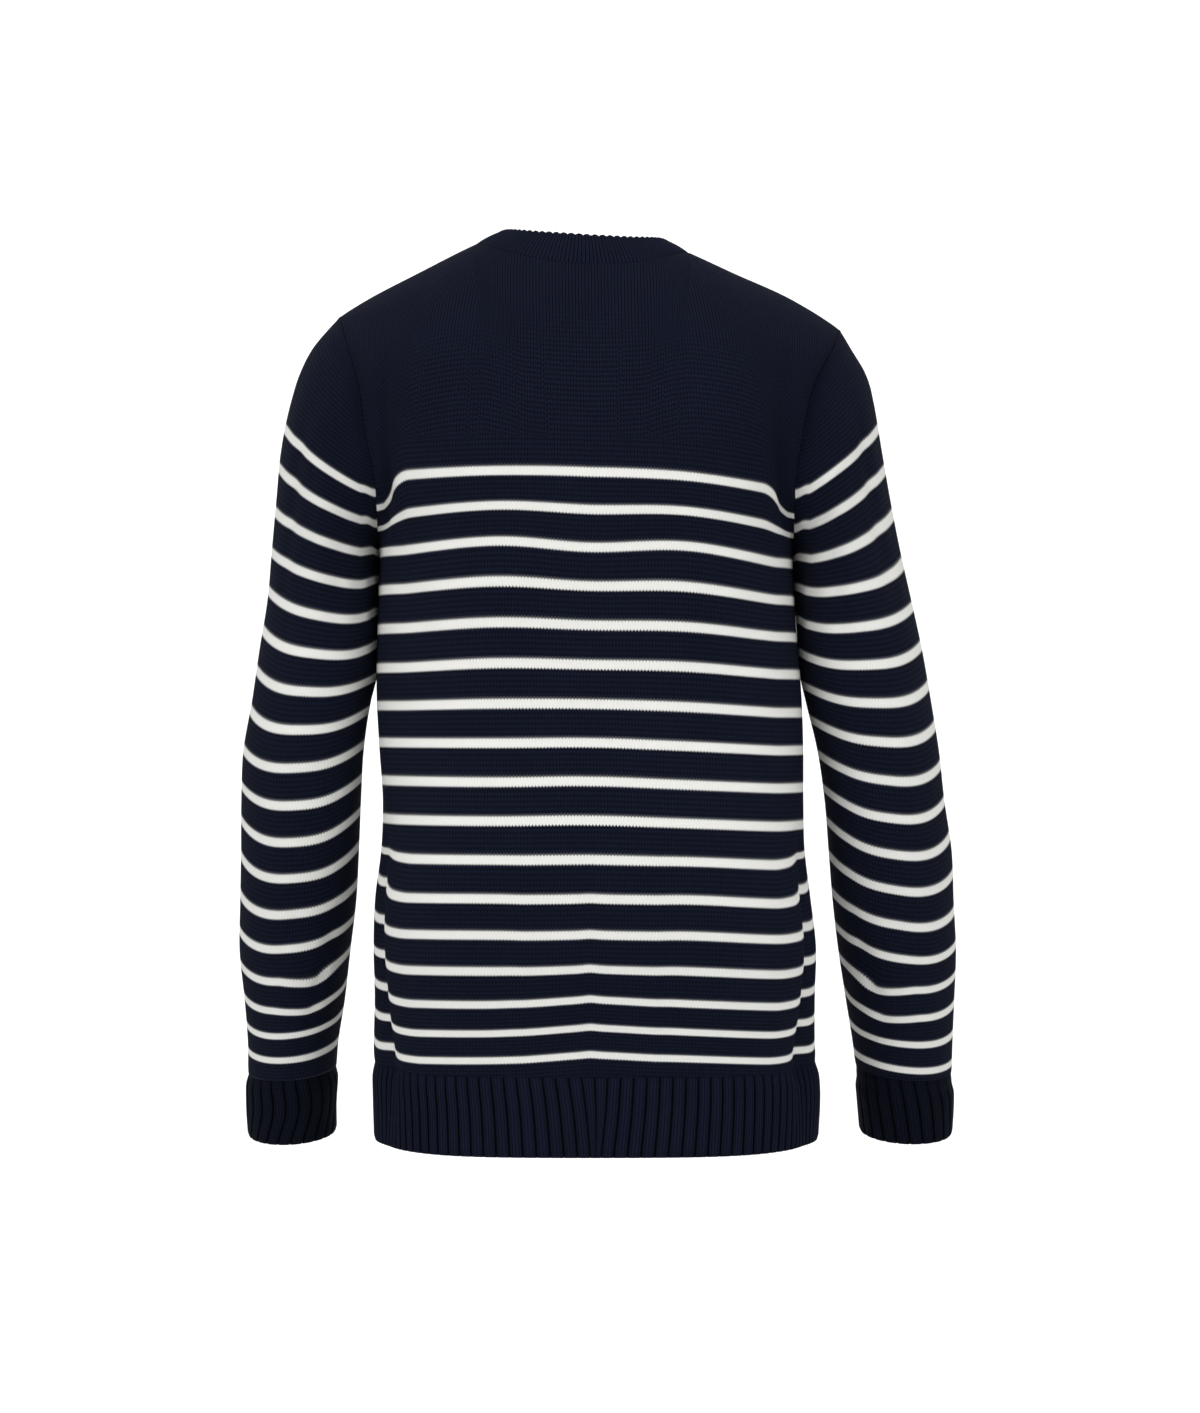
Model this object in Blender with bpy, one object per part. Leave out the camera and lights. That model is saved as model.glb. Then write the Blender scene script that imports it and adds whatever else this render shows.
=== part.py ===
"""Crew-neck knitted jumper, filled out as if worn, hanging from the neck and shoulders.

Metres, +Z up. The front faces -Y and the wearer's left is +X. The origin is at the middle of
the neck, level with the back of the neckband, where the wearer's neck and shoulders hold it.

The garment is nine knitted pieces. Each is a wall of cloth: an outer skin of points worked out
from the tables of sizes below, an inner skin the cloth's thickness inside it, and closed edges.
The hem, cuffs and neckband have raised ribs in their outer skin, over a plain inside.
"""

import bpy
import numpy as np
from math import pi, radians, tan

for item in list(bpy.data.objects):
    bpy.data.objects.remove(item, do_unlink=True)

# ---------------------------------------------------------------- driving dimensions

CLOTH = 0.0022          # thickness of the plain knit
RIB_BASE = 0.0020       # thickness of a rib band at the bottom of its grooves
HEM_RISE = 0.0016       # how far a hem or cuff rib stands over its grooves
NECK_RISE = 0.0007      # the same on the fine neckband ribs
SEAM = 0.0003           # gap between two pieces where they are sewn

UNDERARM_Z = -0.245     # bottom of the armholes
RIB_TOP_Z = -0.642      # seam between the panels and the hem rib, at the back
HEM_Z = -0.702          # bottom of the hem rib, at the back
SHOULDER_Z = {1: -0.061, -1: -0.0725}    # height of each shoulder point, left (+1) and right (-1)
SHOULDER_X = 0.1945

NECK_MIDDLE_X = 0.0065  # the neck sits a little to the wearer's left
# Two necklines, by their ends, their drops between them and their roundness: 2 is a parabola.
NECK_SEAM = {"half_width": 0.083, "right": -0.0122, "left": -0.0053,
             "back": 0.0175, "front": 0.078, "round": 2.5}
NECK_EDGE = {"half_width": 0.061, "right": -0.0015, "left": 0.0050,
             "back": 0.0050, "front": 0.068, "round": 3.5}
NECK_EDGE_DEPTH = {"back": 0.80, "front": 0.83}     # the edge's depth as a share of the seam's
NECK_SEAM_GAP = 0.0005  # the neck seam's own gap: its edges twist where it turns at the shoulders

HEM_RIBS = 64           # across each of the back and the front
HEM_CLOSING = 0.52      # how much narrower a rib is at the side seams than in the middle
HEM_CLOSES = (0.15, 0.75)           # closing in between these shares of the half width
HEM_GATHER = 0.0075     # how far the back's ribs draw in to the middle at the hem's edge
HEM_GATHER_REACH = 0.125
HEM_HALF_LENGTH = 0.46  # length of the hem from side seam to side seam, about
CUFF_RIBS = 22          # all round
CUFF_LEAN = {1: (0, 0.10, -0.12), -1: (0, -0.08, -0.16)}   # turn of the ribs down each cuff
CUFF_END = 1.085        # where a cuff ends, as a share of the sleeve's length
NECK_RIBS = 96          # all round
NECK_BOW = 0.0010       # how far the neckband swells between its edges
RIB_SHOULDER = 0.17     # half a groove's width, as a share of the rib's pitch
SIDE_LIFT = 0.006       # how much higher the hem is at the side seams than at the back
LIFT_FROM_Z = -0.400
ARMHOLE_CORNER = 1.2    # how much squarer the body's corners are beside the armholes
CORNER_REACH = 0.080    # reached this far above the underarm
ARMHOLE_DEPTH = {1: 0.071, -1: 0.064}               # of the armhole seam, behind and before
ARMHOLE_FILLS = 0.45    # share of the armhole's height on which it reaches that depth
ARMHOLE_EDGE = 4        # how quickly the body's form turns into the armhole seam
# How far below the shoulder line the cloth rolls over, by the armhole and by the neck.
SHOULDER_ROLL = 0.085
NECK_ROLL = {1: 0.250, -1: 0.262}
ROLL_SPREAD = 1.6       # how quickly the one turns into the other

ARMHOLE_ROWS = 11       # rows of points up each half of an armhole
BODY_ROWS = 12          # rows of points from the rib seam up to the underarm
SHOULDER_COLUMNS = 9    # columns of points along each shoulder seam
NECK_COLUMNS = 16       # columns of points along each half of the neck seam
CORNER_SHARE = 0.31     # share of a ring, from each side seam, that the shoulder columns start on
COLUMNS_CLOSE = 0.6     # how much closer the columns are beside the side creases
COLUMNS_CLOSE_AT = 0.4  # and at which share of the shoulder columns
MIDDLE_LEAD = 0.3       # rows rise ahead in the middle of a panel, where it is shallow
SHOULDER_FROM = (0.225, 0.675)      # shares of the half width between which rows turn to the shoulder
RING_SAMPLES = 721      # points that a ring's length is measured on
SLEEVE_ROWS = 20        # rings of points down a sleeve

FACE_NAME = {1: "back", -1: "front"}
SIDE_NAME = {1: "left", -1: "right"}

NAVY = (0.011, 0.013, 0.027)
NAVY_RIB = (0.009, 0.010, 0.021)
KNIT_ROUGHNESS = 0.9


# ---------------------------------------------------------------- tables of sizes


def table(columns, *rows):
    """A table of sizes: a dict with one array for each named column, by its first column."""
    return dict(zip(columns.split(), np.array(sorted(rows), float).T))


def read(sizes, column, key, at):
    """A column of a table at any value of its key column, on a smooth curve through the rows."""
    x, y = sizes[key], sizes[column]
    slope = np.gradient(y, x)
    at = np.clip(np.asarray(at, float), x[0], x[-1])
    i = np.clip(np.searchsorted(x, at) - 1, 0, len(x) - 2)
    h = x[i + 1] - x[i]
    t = (at - x[i]) / h
    rise = y[i + 1] - y[i]
    return (y[i] + t * t * (3 - 2 * t) * rise
            + t * (1 - t) ** 2 * h * slope[i] - t * t * (1 - t) * h * slope[i + 1])


# Half widths of the body: to the side seams below the underarm, to the armhole seams above it.
WIDTH = table(
    "z       left    right",
    (-0.702, 0.1670, 0.1735),
    (-0.668, 0.1680, 0.1750),
    (-0.629, 0.1685, 0.1722),
    (-0.590, 0.1676, 0.1720),
    (-0.552, 0.1684, 0.1728),
    (-0.513, 0.1672, 0.1685),
    (-0.474, 0.1625, 0.1640),
    (-0.436, 0.1614, 0.1632),
    (-0.397, 0.1640, 0.1632),
    (-0.358, 0.1662, 0.1620),
    (-0.300, 0.1664, 0.1612),
    (-0.245, 0.1655, 0.1600),
    (-0.215, 0.1660, 0.1592),
    (-0.188, 0.1700, 0.1600),
    (-0.160, 0.1740, 0.1625),
    (-0.118, 0.1795, 0.1710),
    (-0.085, 0.1870, 0.1860),
    (-0.061, 0.1945, 0.1945),
)

# Depth of the body behind (back) and before (front) the side seams, and how square its corners are.
DEPTH = table(
    "z       back    front   back_corner front_corner",
    (-0.702, 0.0930, 0.0950, 2.7,        2.5),
    (-0.660, 0.0930, 0.0960, 2.8,        2.5),
    (-0.620, 0.0975, 0.0995, 3.0,        2.5),
    (-0.580, 0.1070, 0.1035, 3.1,        2.5),
    (-0.540, 0.1145, 0.1060, 3.1,        2.5),
    (-0.500, 0.1165, 0.1060, 3.0,        2.5),
    (-0.440, 0.1130, 0.1050, 2.9,        2.5),
    (-0.380, 0.1080, 0.1055, 2.8,        2.5),
    (-0.320, 0.1075, 0.1085, 2.8,        2.5),
    (-0.250, 0.1110, 0.1145, 2.8,        2.6),
    (-0.180, 0.1140, 0.1180, 2.8,        2.6),
    (-0.100, 0.1130, 0.1140, 2.8,        2.6),
    (0.0200, 0.1110, 0.1110, 2.8,        2.6),
)

# The line of the shoulders, from the right shoulder point to the left one, rounded over the neck.
RIDGE = table(
    "x        z",
    (-0.1945, -0.0725),
    (-0.1750, -0.0600),
    (-0.1540, -0.0480),
    (-0.1100, -0.0280),
    (-0.0760, -0.0120),
    (-0.0500, -0.0005),
    (0.0065,  0.0150),
    (0.0640,  0.0060),
    (0.0900, -0.0055),
    (0.1356, -0.0286),
    (0.1728, -0.0480),
    (0.1945, -0.0610),
)

# The edges of each sleeve as seen from behind: distance from the middle, left (+1) and right (-1).
SLEEVE_OUTER = {
    1: table(
        "z       x",
        (-0.7050, 0.2700),
        (-0.6730, 0.2715),
        (-0.6530, 0.2711),
        (-0.6330, 0.2705),
        (-0.5930, 0.2724),
        (-0.5540, 0.2756),
        (-0.5140, 0.2744),
        (-0.4750, 0.2730),
        (-0.4360, 0.2722),
        (-0.3970, 0.2702),
        (-0.3580, 0.2631),
        (-0.3190, 0.2572),
        (-0.2800, 0.2508),
        (-0.2420, 0.2474),
        (-0.2030, 0.2438),
        (-0.1640, 0.2400),
        (-0.1250, 0.2318),
        (-0.1060, 0.2258),
        (-0.0870, 0.2165),
        (-0.0610, 0.1948),
    ),
    -1: table(
        "z       x",
        (-0.7050, 0.2825),
        (-0.6730, 0.2838),
        (-0.6530, 0.2832),
        (-0.6330, 0.2832),
        (-0.5930, 0.2840),
        (-0.5540, 0.2846),
        (-0.5140, 0.2820),
        (-0.4750, 0.2797),
        (-0.4360, 0.2735),
        (-0.3970, 0.2688),
        (-0.3580, 0.2623),
        (-0.3190, 0.2553),
        (-0.2800, 0.2467),
        (-0.2420, 0.2381),
        (-0.2030, 0.2303),
        (-0.1640, 0.2233),
        (-0.1250, 0.2163),
        (-0.1060, 0.2116),
        (-0.0870, 0.2020),
        (-0.0725, 0.1948),
    ),
}
SLEEVE_INNER = {
    1: table(
        "z       x",
        (-0.7050, 0.2030),
        (-0.6730, 0.2028),
        (-0.6530, 0.2012),
        (-0.6330, 0.2002),
        (-0.5930, 0.1939),
        (-0.5540, 0.1890),
        (-0.5140, 0.1838),
        (-0.4750, 0.1812),
        (-0.4360, 0.1792),
        (-0.3970, 0.1768),
        (-0.3580, 0.1712),
        (-0.3190, 0.1682),
        (-0.2800, 0.1678),
        (-0.2420, 0.1676),
        (-0.2030, 0.1674),
    ),
    -1: table(
        "z       x",
        (-0.7050, 0.2130),
        (-0.6730, 0.2100),
        (-0.6530, 0.2080),
        (-0.6330, 0.2056),
        (-0.5930, 0.1990),
        (-0.5540, 0.1926),
        (-0.5140, 0.1875),
        (-0.4750, 0.1839),
        (-0.4360, 0.1804),
        (-0.3970, 0.1754),
        (-0.3580, 0.1656),
        (-0.3190, 0.1630),
        (-0.2800, 0.1622),
        (-0.2420, 0.1618),
        (-0.2030, 0.1618),
    ),
}

# Down a sleeve from the armhole (0) to the cuff seam (1) and past it to the cuff's edge: the arm
# swings a little forward below the elbow, and each ring leans with it.
SLEEVE_DEPTH = table(
    "along  middle  half_depth lean",
    (0.00,  0.0020, 0.066,      0.0),
    (0.12,  0.0030, 0.066,      0.0),
    (0.30,  0.0020, 0.061,      0.0),
    (0.50, -0.0020, 0.056,      2.0),
    (0.65, -0.0110, 0.053,      5.0),
    (0.80, -0.0280, 0.048,      9.0),
    (0.92, -0.0430, 0.042,     11.0),
    (1.00, -0.0520, 0.037,     11.0),
    (1.10, -0.0620, 0.035,     11.0),
)
SLEEVE_END = {"outer": -0.650, "inner": -0.645}
SLEEVE_DROP = SHOULDER_Z[1] - SLEEVE_END["outer"]
INNER_LAG = 1.5         # the inner edge of a ring starts low, at the underarm, and catches up
SLEEVE_BLEND = 0.30     # share of the sleeve over which the armhole's shape becomes a plain ring
SLEEVE_CLEAR = 0.08     # and over which the sleeve leaves the body's side

# Soft creases behind the side seams: a trough in the panel beside a rolled edge, and how far round
# the body it lies from the seam.
CREASE = table(
    "z       depth   at",
    (-0.702, 0.0020, 0.050),
    (-0.660, 0.0060, 0.055),
    (-0.630, 0.0090, 0.054),
    (-0.600, 0.0100, 0.050),
    (-0.560, 0.0095, 0.050),
    (-0.520, 0.0070, 0.050),
    (-0.480, 0.0030, 0.050),
    (-0.440, 0.0000, 0.050),
)
CREASE_WIDTH = 0.012


# ---------------------------------------------------------------- shape of the body


def smooth(at):
    """0 below 0, 1 above 1 and a soft step between."""
    at = np.clip(at, 0, 1)
    return at * at * (3 - 2 * at)


def half_width(x_side, z):
    """Half width of the body at a height, on the left (x_side +1) or the right (-1)."""
    z = np.minimum(z, np.where(np.asarray(x_side) > 0, SHOULDER_Z[1], SHOULDER_Z[-1]))
    return np.where(np.asarray(x_side) > 0, read(WIDTH, "left", "z", z), read(WIDTH, "right", "z", z))


def shoulder_round(x, z, face):
    """0 on the shoulder line, 1 far below it: the cloth rolls over the shoulder on a quarter ellipse.

    face is +1 for the back and -1 for the front.
    """
    drop = np.maximum(read(RIDGE, "z", "x", x) - z, 0.0)
    to_neck = np.clip(1 - np.abs(x) / SHOULDER_X, 0, 1) ** ROLL_SPREAD
    reach = SHOULDER_ROLL + (NECK_ROLL[face] - SHOULDER_ROLL) * to_neck
    return quarter_round(drop / reach)


def quarter_round(at):
    """A quarter of a circle: 0 at 0, rising steeply, and level from 1 on."""
    return np.sqrt(1 - (1 - np.minimum(at, 1)) ** 2)


def armhole_depth(x_side, z, face):
    """Distance of the armhole seam from the side seams' plane, before the shoulder rolls over."""
    top = np.where(np.asarray(x_side) > 0, SHOULDER_Z[1], SHOULDER_Z[-1])
    up = np.clip((z - UNDERARM_Z) / (top - UNDERARM_Z), 0, 1)
    return ARMHOLE_DEPTH[face] * quarter_round(up / ARMHOLE_FILLS)


def body_depth(x, z, face):
    """Distance of the cloth behind or before the side seams' plane at a place seen from behind."""
    x_side = np.sign(x) + (x == 0)
    side = np.clip(np.abs(x) / half_width(x_side, z), 0, 1)
    name = FACE_NAME[face]
    squarer = ARMHOLE_CORNER * smooth((z - UNDERARM_Z) / CORNER_REACH)
    corner = read(DEPTH, name + "_corner", "z", z) + squarer
    across = read(DEPTH, name, "z", z) * (1 - side ** corner) ** (1 / corner)
    edge = armhole_depth(x_side, z, face) * side ** ARMHOLE_EDGE
    either = np.cbrt(across ** 3 + edge ** 3)               # the deeper of the two, blended
    return either * shoulder_round(x, z, face)


def neck_turns():
    """The turn of each neck column, from right to left."""
    return np.linspace(-pi / 2, pi / 2, NECK_COLUMNS + 1)


def neck_line(sizes, turn, face):
    """The neckline seen from behind: x and z at a turn from -90 degrees (right) to +90 (left)."""
    share = np.sin(turn)
    side = sizes["right"] + (sizes["left"] - sizes["right"]) * (1 + share) / 2
    drop = sizes[FACE_NAME[face]] * (1 - np.abs(share) ** sizes["round"])
    return NECK_MIDDLE_X + sizes["half_width"] * share, side - drop


# ---------------------------------------------------------------- skins and walls


def normals(grid):
    """Unit normals of a grid of points, rows running up and columns running to the left (+X)."""
    up = np.gradient(grid, axis=0)
    across = np.gradient(grid, axis=1)
    out = np.cross(across, up)
    return out / np.linalg.norm(out, axis=2, keepdims=True)


def flatten(out, axis):
    """Normals with one part taken out, so that two pieces meet at a seam on one plane."""
    out = out.copy()
    out[..., axis] = 0
    return out / np.linalg.norm(out, axis=-1, keepdims=True)


def add_object(name, points, faces, colour):
    mesh = bpy.data.meshes.new(name)
    mesh.from_pydata([tuple(p) for p in points], [], faces)
    mesh.update()
    mesh.shade_smooth()
    mesh.set_sharp_from_angle(angle=radians(50))
    material = bpy.data.materials.new(name + "_knit")
    material.use_nodes = True
    shader = material.node_tree.nodes["Principled BSDF"]
    shader.inputs["Base Color"].default_value = (*colour, 1)
    shader.inputs["Roughness"].default_value = KNIT_ROUGHNESS
    shader.inputs["Metallic"].default_value = 0
    mesh.materials.append(material)
    item = bpy.data.objects.new(name, mesh)
    bpy.context.scene.collection.objects.link(item)
    return item


def wall_object(name, outer, inner, colour, ring=False):
    """One closed wall of cloth between an outer and an inner skin.

    Each skin is a grid of rows and columns. With ring, the columns run all the way round and the
    wall is a tube with an open end at its first and last row. Otherwise it is a panel. The inner
    skin may have fewer rows and columns: its columns each serve a whole number of outer ones.
    """
    rows, columns = outer.shape[:2]
    inner_rows, inner_columns = inner.shape[:2]
    steps = columns if ring else columns - 1
    inner_steps = inner_columns if ring else inner_columns - 1
    share = steps // inner_steps
    points = np.concatenate([outer.reshape(-1, 3), inner.reshape(-1, 3)])

    def out_at(r, c):
        return r * columns + c % columns

    def in_at(r, c):
        return rows * columns + r * inner_columns + c % inner_columns

    faces = []
    for r in range(rows - 1):
        for c in range(steps):
            faces.append((out_at(r, c), out_at(r, c + 1), out_at(r + 1, c + 1), out_at(r + 1, c)))
    for r in range(inner_rows - 1):
        for c in range(inner_steps):
            faces.append((in_at(r, c), in_at(r + 1, c), in_at(r + 1, c + 1), in_at(r, c + 1)))
    for last in (False, True):                               # the bottom and the top edge
        r, ri = (rows - 1, inner_rows - 1) if last else (0, 0)
        for c in range(inner_steps):
            edge = []
            if share == 1:
                edge.append((in_at(ri, c), in_at(ri, c + 1), out_at(r, c + 1), out_at(r, c)))
            else:
                half = share // 2
                for k in range(share):
                    corner = in_at(ri, c if k < half else c + 1)
                    edge.append((corner, out_at(r, share * c + k + 1), out_at(r, share * c + k)))
                edge.append((in_at(ri, c), in_at(ri, c + 1), out_at(r, share * c + half)))
            faces += [face[::-1] for face in edge] if last else edge
    if not ring:                                             # the two side edges
        for r in range(rows - 1):
            faces.append((out_at(r, 0), out_at(r + 1, 0), in_at(r + 1, 0), in_at(r, 0)))
            faces.append((out_at(r, steps), in_at(r, inner_steps),
                          in_at(r + 1, inner_steps), out_at(r + 1, steps)))
    return add_object(name, points, faces, colour)


# ---------------------------------------------------------------- body panels


def column_shares():
    """Where each column starts on the rings below the underarm, from 0 (right) to 1 (left).

    The columns are closer together where the side creases lie.
    """
    to_corner = np.linspace(0, 1, SHOULDER_COLUMNS + 1)
    wave = np.sin(2 * pi * (to_corner - COLUMNS_CLOSE_AT)) + np.sin(2 * pi * COLUMNS_CLOSE_AT)
    corner = CORNER_SHARE * (to_corner - COLUMNS_CLOSE * wave / (2 * pi))
    middle = np.linspace(CORNER_SHARE, 1 - CORNER_SHARE, NECK_COLUMNS + 1)[1:-1]
    return np.concatenate([corner, middle, 1 - corner[::-1]])


def side_lift(x, z):
    """The sides of the lower body hang a little higher than its back and front."""
    x_side = np.sign(x) + (x == 0)
    side = np.clip(np.abs(x) / half_width(x_side, z), 0, 1)
    return SIDE_LIFT * np.clip((LIFT_FROM_Z - z) / (LIFT_FROM_Z - RIB_TOP_Z), 0, 1) * side ** 6


def body_ring(z, share, face):
    """Points of the back or the front at one height below the underarm, at shares of its length."""
    turn = np.linspace(-pi / 2, pi / 2, RING_SAMPLES)
    name = FACE_NAME[face]
    corner = float(read(DEPTH, name + "_corner", "z", z))
    sine, cosine = np.sin(turn), np.maximum(np.cos(turn), 0)
    x_side = np.where(sine < 0, -1, 1)
    x = half_width(x_side, np.full(turn.shape, z)) * x_side * np.abs(sine) ** (2 / corner)
    y = float(read(DEPTH, name, "z", z)) * cosine ** (2 / corner)
    length = np.concatenate([[0], np.cumsum(np.hypot(np.diff(x), np.diff(y)))])
    if face > 0:
        depth, middle = float(read(CREASE, "depth", "z", z)), float(read(CREASE, "at", "z", z))
        from_seam = np.minimum(length, length[-1] - length)
        trough = depth * np.exp(-((from_seam - middle) / CREASE_WIDTH) ** 2)
        dx, dy = np.gradient(x), np.gradient(y)
        size = np.hypot(dx, dy) + 1e-12
        x, y = x + trough * dy / size, y - trough * dx / size
    at = np.asarray(share) * length[-1]
    x = np.interp(at, length, x)
    return np.stack([x, face * np.interp(at, length, y), z + side_lift(x, z)], axis=-1)


def top_line(face):
    """Top edge of a panel from the right shoulder point, round the neck, to the left one."""
    neck_x, neck_z = neck_line(NECK_SEAM, neck_turns(), face)
    neck_depth = body_depth(neck_x, neck_z, face)
    right = np.linspace(-SHOULDER_X, neck_x[0], SHOULDER_COLUMNS + 1)[:-1]
    left = np.linspace(neck_x[-1], SHOULDER_X, SHOULDER_COLUMNS + 1)[1:]
    x = np.concatenate([right, neck_x, left])
    z = np.concatenate([read(RIDGE, "z", "x", right), neck_z, read(RIDGE, "z", "x", left)])
    depth = np.concatenate([0 * right, neck_depth, 0 * left])
    return x, depth, z


def body_skin(face):
    """Outer skin of the back (face +1) or the front (-1): rows from the rib seam to the shoulders."""
    share = column_shares()
    lower = [body_ring(z, share, face)
             for z in np.linspace(RIB_TOP_Z + SEAM / 2, UNDERARM_Z, BODY_ROWS + 1)]
    start_x = lower[-1][:, 0]
    end_x, end_depth, end_z = top_line(face)
    across = np.linspace(-1, 1, len(share))
    x_side = np.where(across < 0, -1, 1)
    near_edge = np.abs(across) ** 3
    over_shoulder = np.clip((np.abs(across) - SHOULDER_FROM[0]) / (SHOULDER_FROM[1] - SHOULDER_FROM[0]), 0, 1)
    upper = []
    for row in range(1, ARMHOLE_ROWS + 1):
        up = row / ARMHOLE_ROWS
        in_middle = up * (1 + MIDDLE_LEAD * (1 - up))
        climb = in_middle * (1 - over_shoulder) + np.sin(up * pi / 2) * over_shoulder
        climb = (1 - near_edge) * climb + near_edge * (1 - np.cos(up * pi)) / 2
        z = UNDERARM_Z + (end_z - UNDERARM_Z) * climb
        edge_z = np.where(across < 0, z[0], z[-1])
        blend = smooth(up)
        from_share = start_x / half_width(x_side, np.full(x_side.shape, UNDERARM_Z))
        x = half_width(x_side, edge_z) * ((1 - blend) * from_share + blend * end_x / SHOULDER_X)
        depth = end_depth if row == ARMHOLE_ROWS else body_depth(x, z, face)
        upper.append(np.stack([x, face * depth, z], axis=-1))
    return np.stack(lower + upper)


def neck_columns():
    """The columns of a panel that end at the neck seam."""
    return slice(SHOULDER_COLUMNS, SHOULDER_COLUMNS + NECK_COLUMNS + 1)


def body_walls(face):
    """Outer skin of a panel, set back for its seams, and its outward directions."""
    skin = body_skin(face)
    out = -face * normals(skin)
    sides = np.zeros(skin.shape[:2], bool)                  # side seams and shoulder seams
    sides[:BODY_ROWS + 1, [0, -1]] = True
    sides[-1] = True
    sides[-1, neck_columns()] = False
    neck_ends = [SHOULDER_COLUMNS, -1 - SHOULDER_COLUMNS]
    sides[-1, neck_ends] = True
    out[sides] = flatten(out[sides], 1)
    skin[sides, 1] = face * SEAM / 2
    return skin, out


def body_panel(face):
    """The back or the front panel."""
    skin, out = body_walls(face)
    inner = skin - CLOTH * out
    if face > 0:                                            # columns run to the left, seen from outside
        skin, inner = skin[:, ::-1], inner[:, ::-1]
    return wall_object(FACE_NAME[face], skin, inner, NAVY)


# ---------------------------------------------------------------- hem rib


def hem_rib_shares(down, face):
    """Where each groove of the hem rib crosses a ring, and the points of the ribs between them.

    The ribs are stretched open at the middle and closed at the sides. At the back they draw in
    to the middle going down.
    """
    place = np.linspace(-1, 1, HEM_RIBS + 1)
    closed = smooth((np.abs(place) - HEM_CLOSES[0]) / (HEM_CLOSES[1] - HEM_CLOSES[0]))
    pitch = 1 - HEM_CLOSING * closed
    groove = np.concatenate([[0], np.cumsum((pitch[1:] + pitch[:-1]) / 2)])
    groove = groove / groove[-1]
    if face > 0:
        off = (groove - 0.5) * HEM_HALF_LENGTH
        fade = np.clip(1 - np.abs(off) / HEM_GATHER_REACH, 0, 1)
        groove = groove - HEM_GATHER * down * fade * np.tanh(off / HEM_GATHER) / HEM_HALF_LENGTH
    return rib_points(groove)


def rib_points(groove):
    """Three points a rib: the groove, then the two shoulders of the flat rib beside it."""
    width = np.diff(groove)
    points = np.stack([groove[:-1], groove[:-1] + RIB_SHOULDER * width,
                       groove[1:] - RIB_SHOULDER * width], axis=1).ravel()
    return np.append(points, groove[-1])


def rib_rise(count, height):
    """How far each of those points stands out."""
    return np.append(np.tile([0, height, height], count), 0)


def hem_band(face):
    """One half of the hem rib."""
    outer, inner = [], []
    for down in (1, 0.5, 0):
        z = RIB_TOP_Z - SEAM / 2 + (HEM_Z - RIB_TOP_Z) * down
        share = hem_rib_shares(down, face)
        outer.append(body_ring(z, share, face))
        inner.append(body_ring(z, share[::3], face))
    outer, inner = np.stack(outer), np.stack(inner)
    rise = np.tile(rib_rise(HEM_RIBS, HEM_RISE), (3, 1))
    if face > 0:                                            # the middle groove runs out going down
        rise[:2, 3 * HEM_RIBS // 2] = HEM_RISE
    walls = []
    for skin, stand in ((outer, rise - (CLOTH - RIB_BASE)), (inner, np.full(inner.shape[:2], -CLOTH))):
        out = -face * normals(skin)
        out[:, [0, -1]] = flatten(out[:, [0, -1]], 1)
        skin[:, [0, -1], 1] = face * SEAM / 2
        skin = skin + out * stand[..., None]
        walls.append(skin[:, ::-1] if face > 0 else skin)
    return wall_object("hem_rib_" + FACE_NAME[face], *walls, NAVY_RIB)


# ---------------------------------------------------------------- sleeves and cuffs


def armhole(side, turn):
    """The armhole seam. turn is 0 at the shoulder point, goes by the back, and pi at the underarm."""
    up = (1 + np.cos(turn)) / 2
    z = UNDERARM_Z + (SHOULDER_Z[side] - UNDERARM_Z) * up
    x = side * half_width(np.full(z.shape, side), z)
    depth = np.where(turn <= pi, body_depth(x, z, 1), -body_depth(x, z, -1))
    return np.stack([x, np.where((up > 1 - 1e-9) | (up < 1e-9), 0, depth), z], axis=-1)


def sleeve_ring(side, along, turn):
    """One ring of a sleeve: along is 0 at the armhole and 1 at the cuff seam."""
    def flat_ring(at):
        outer_z = SHOULDER_Z[side] + (SLEEVE_END["outer"] - SHOULDER_Z[side]) * at
        inner_z = UNDERARM_Z + (SLEEVE_END["inner"] - UNDERARM_Z) * at ** INNER_LAG
        outer_x = read(SLEEVE_OUTER[side], "x", "z", outer_z)
        inner_x = read(SLEEVE_INNER[side], "x", "z", inner_z)
        half = (1 + np.cos(turn)) / 2
        x = side * (inner_x + (outer_x - inner_x) * half)
        return np.stack([x, 0 * half, inner_z + (outer_z - inner_z) * half], axis=-1)

    from_seam = armhole(side, turn) - flat_ring(0.0)
    grown = smooth(along / SLEEVE_BLEND)
    clear = np.clip(along / SLEEVE_CLEAR, 0, 1)
    middle = read(SLEEVE_DEPTH, "middle", "along", along)
    lean = tan(radians(float(read(SLEEVE_DEPTH, "lean", "along", along))))
    to_back = read(SLEEVE_DEPTH, "half_depth", "along", along) * np.sin(turn)
    ring = flat_ring(along)
    ring[:, 0] += (1 - clear) * from_seam[:, 0] + side * SEAM
    ring[:, 1] += (1 - grown) * from_seam[:, 1] + grown * (middle + to_back)
    ring[:, 2] += (1 - grown) * from_seam[:, 2] - grown * to_back * lean
    return ring


def ring_normals(grid):
    """Normals of a tube's grid, whose last column meets its first."""
    wrapped = np.concatenate([grid[:, -1:], grid, grid[:, :1]], axis=1)
    return normals(wrapped)[:, 1:-1]


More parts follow.
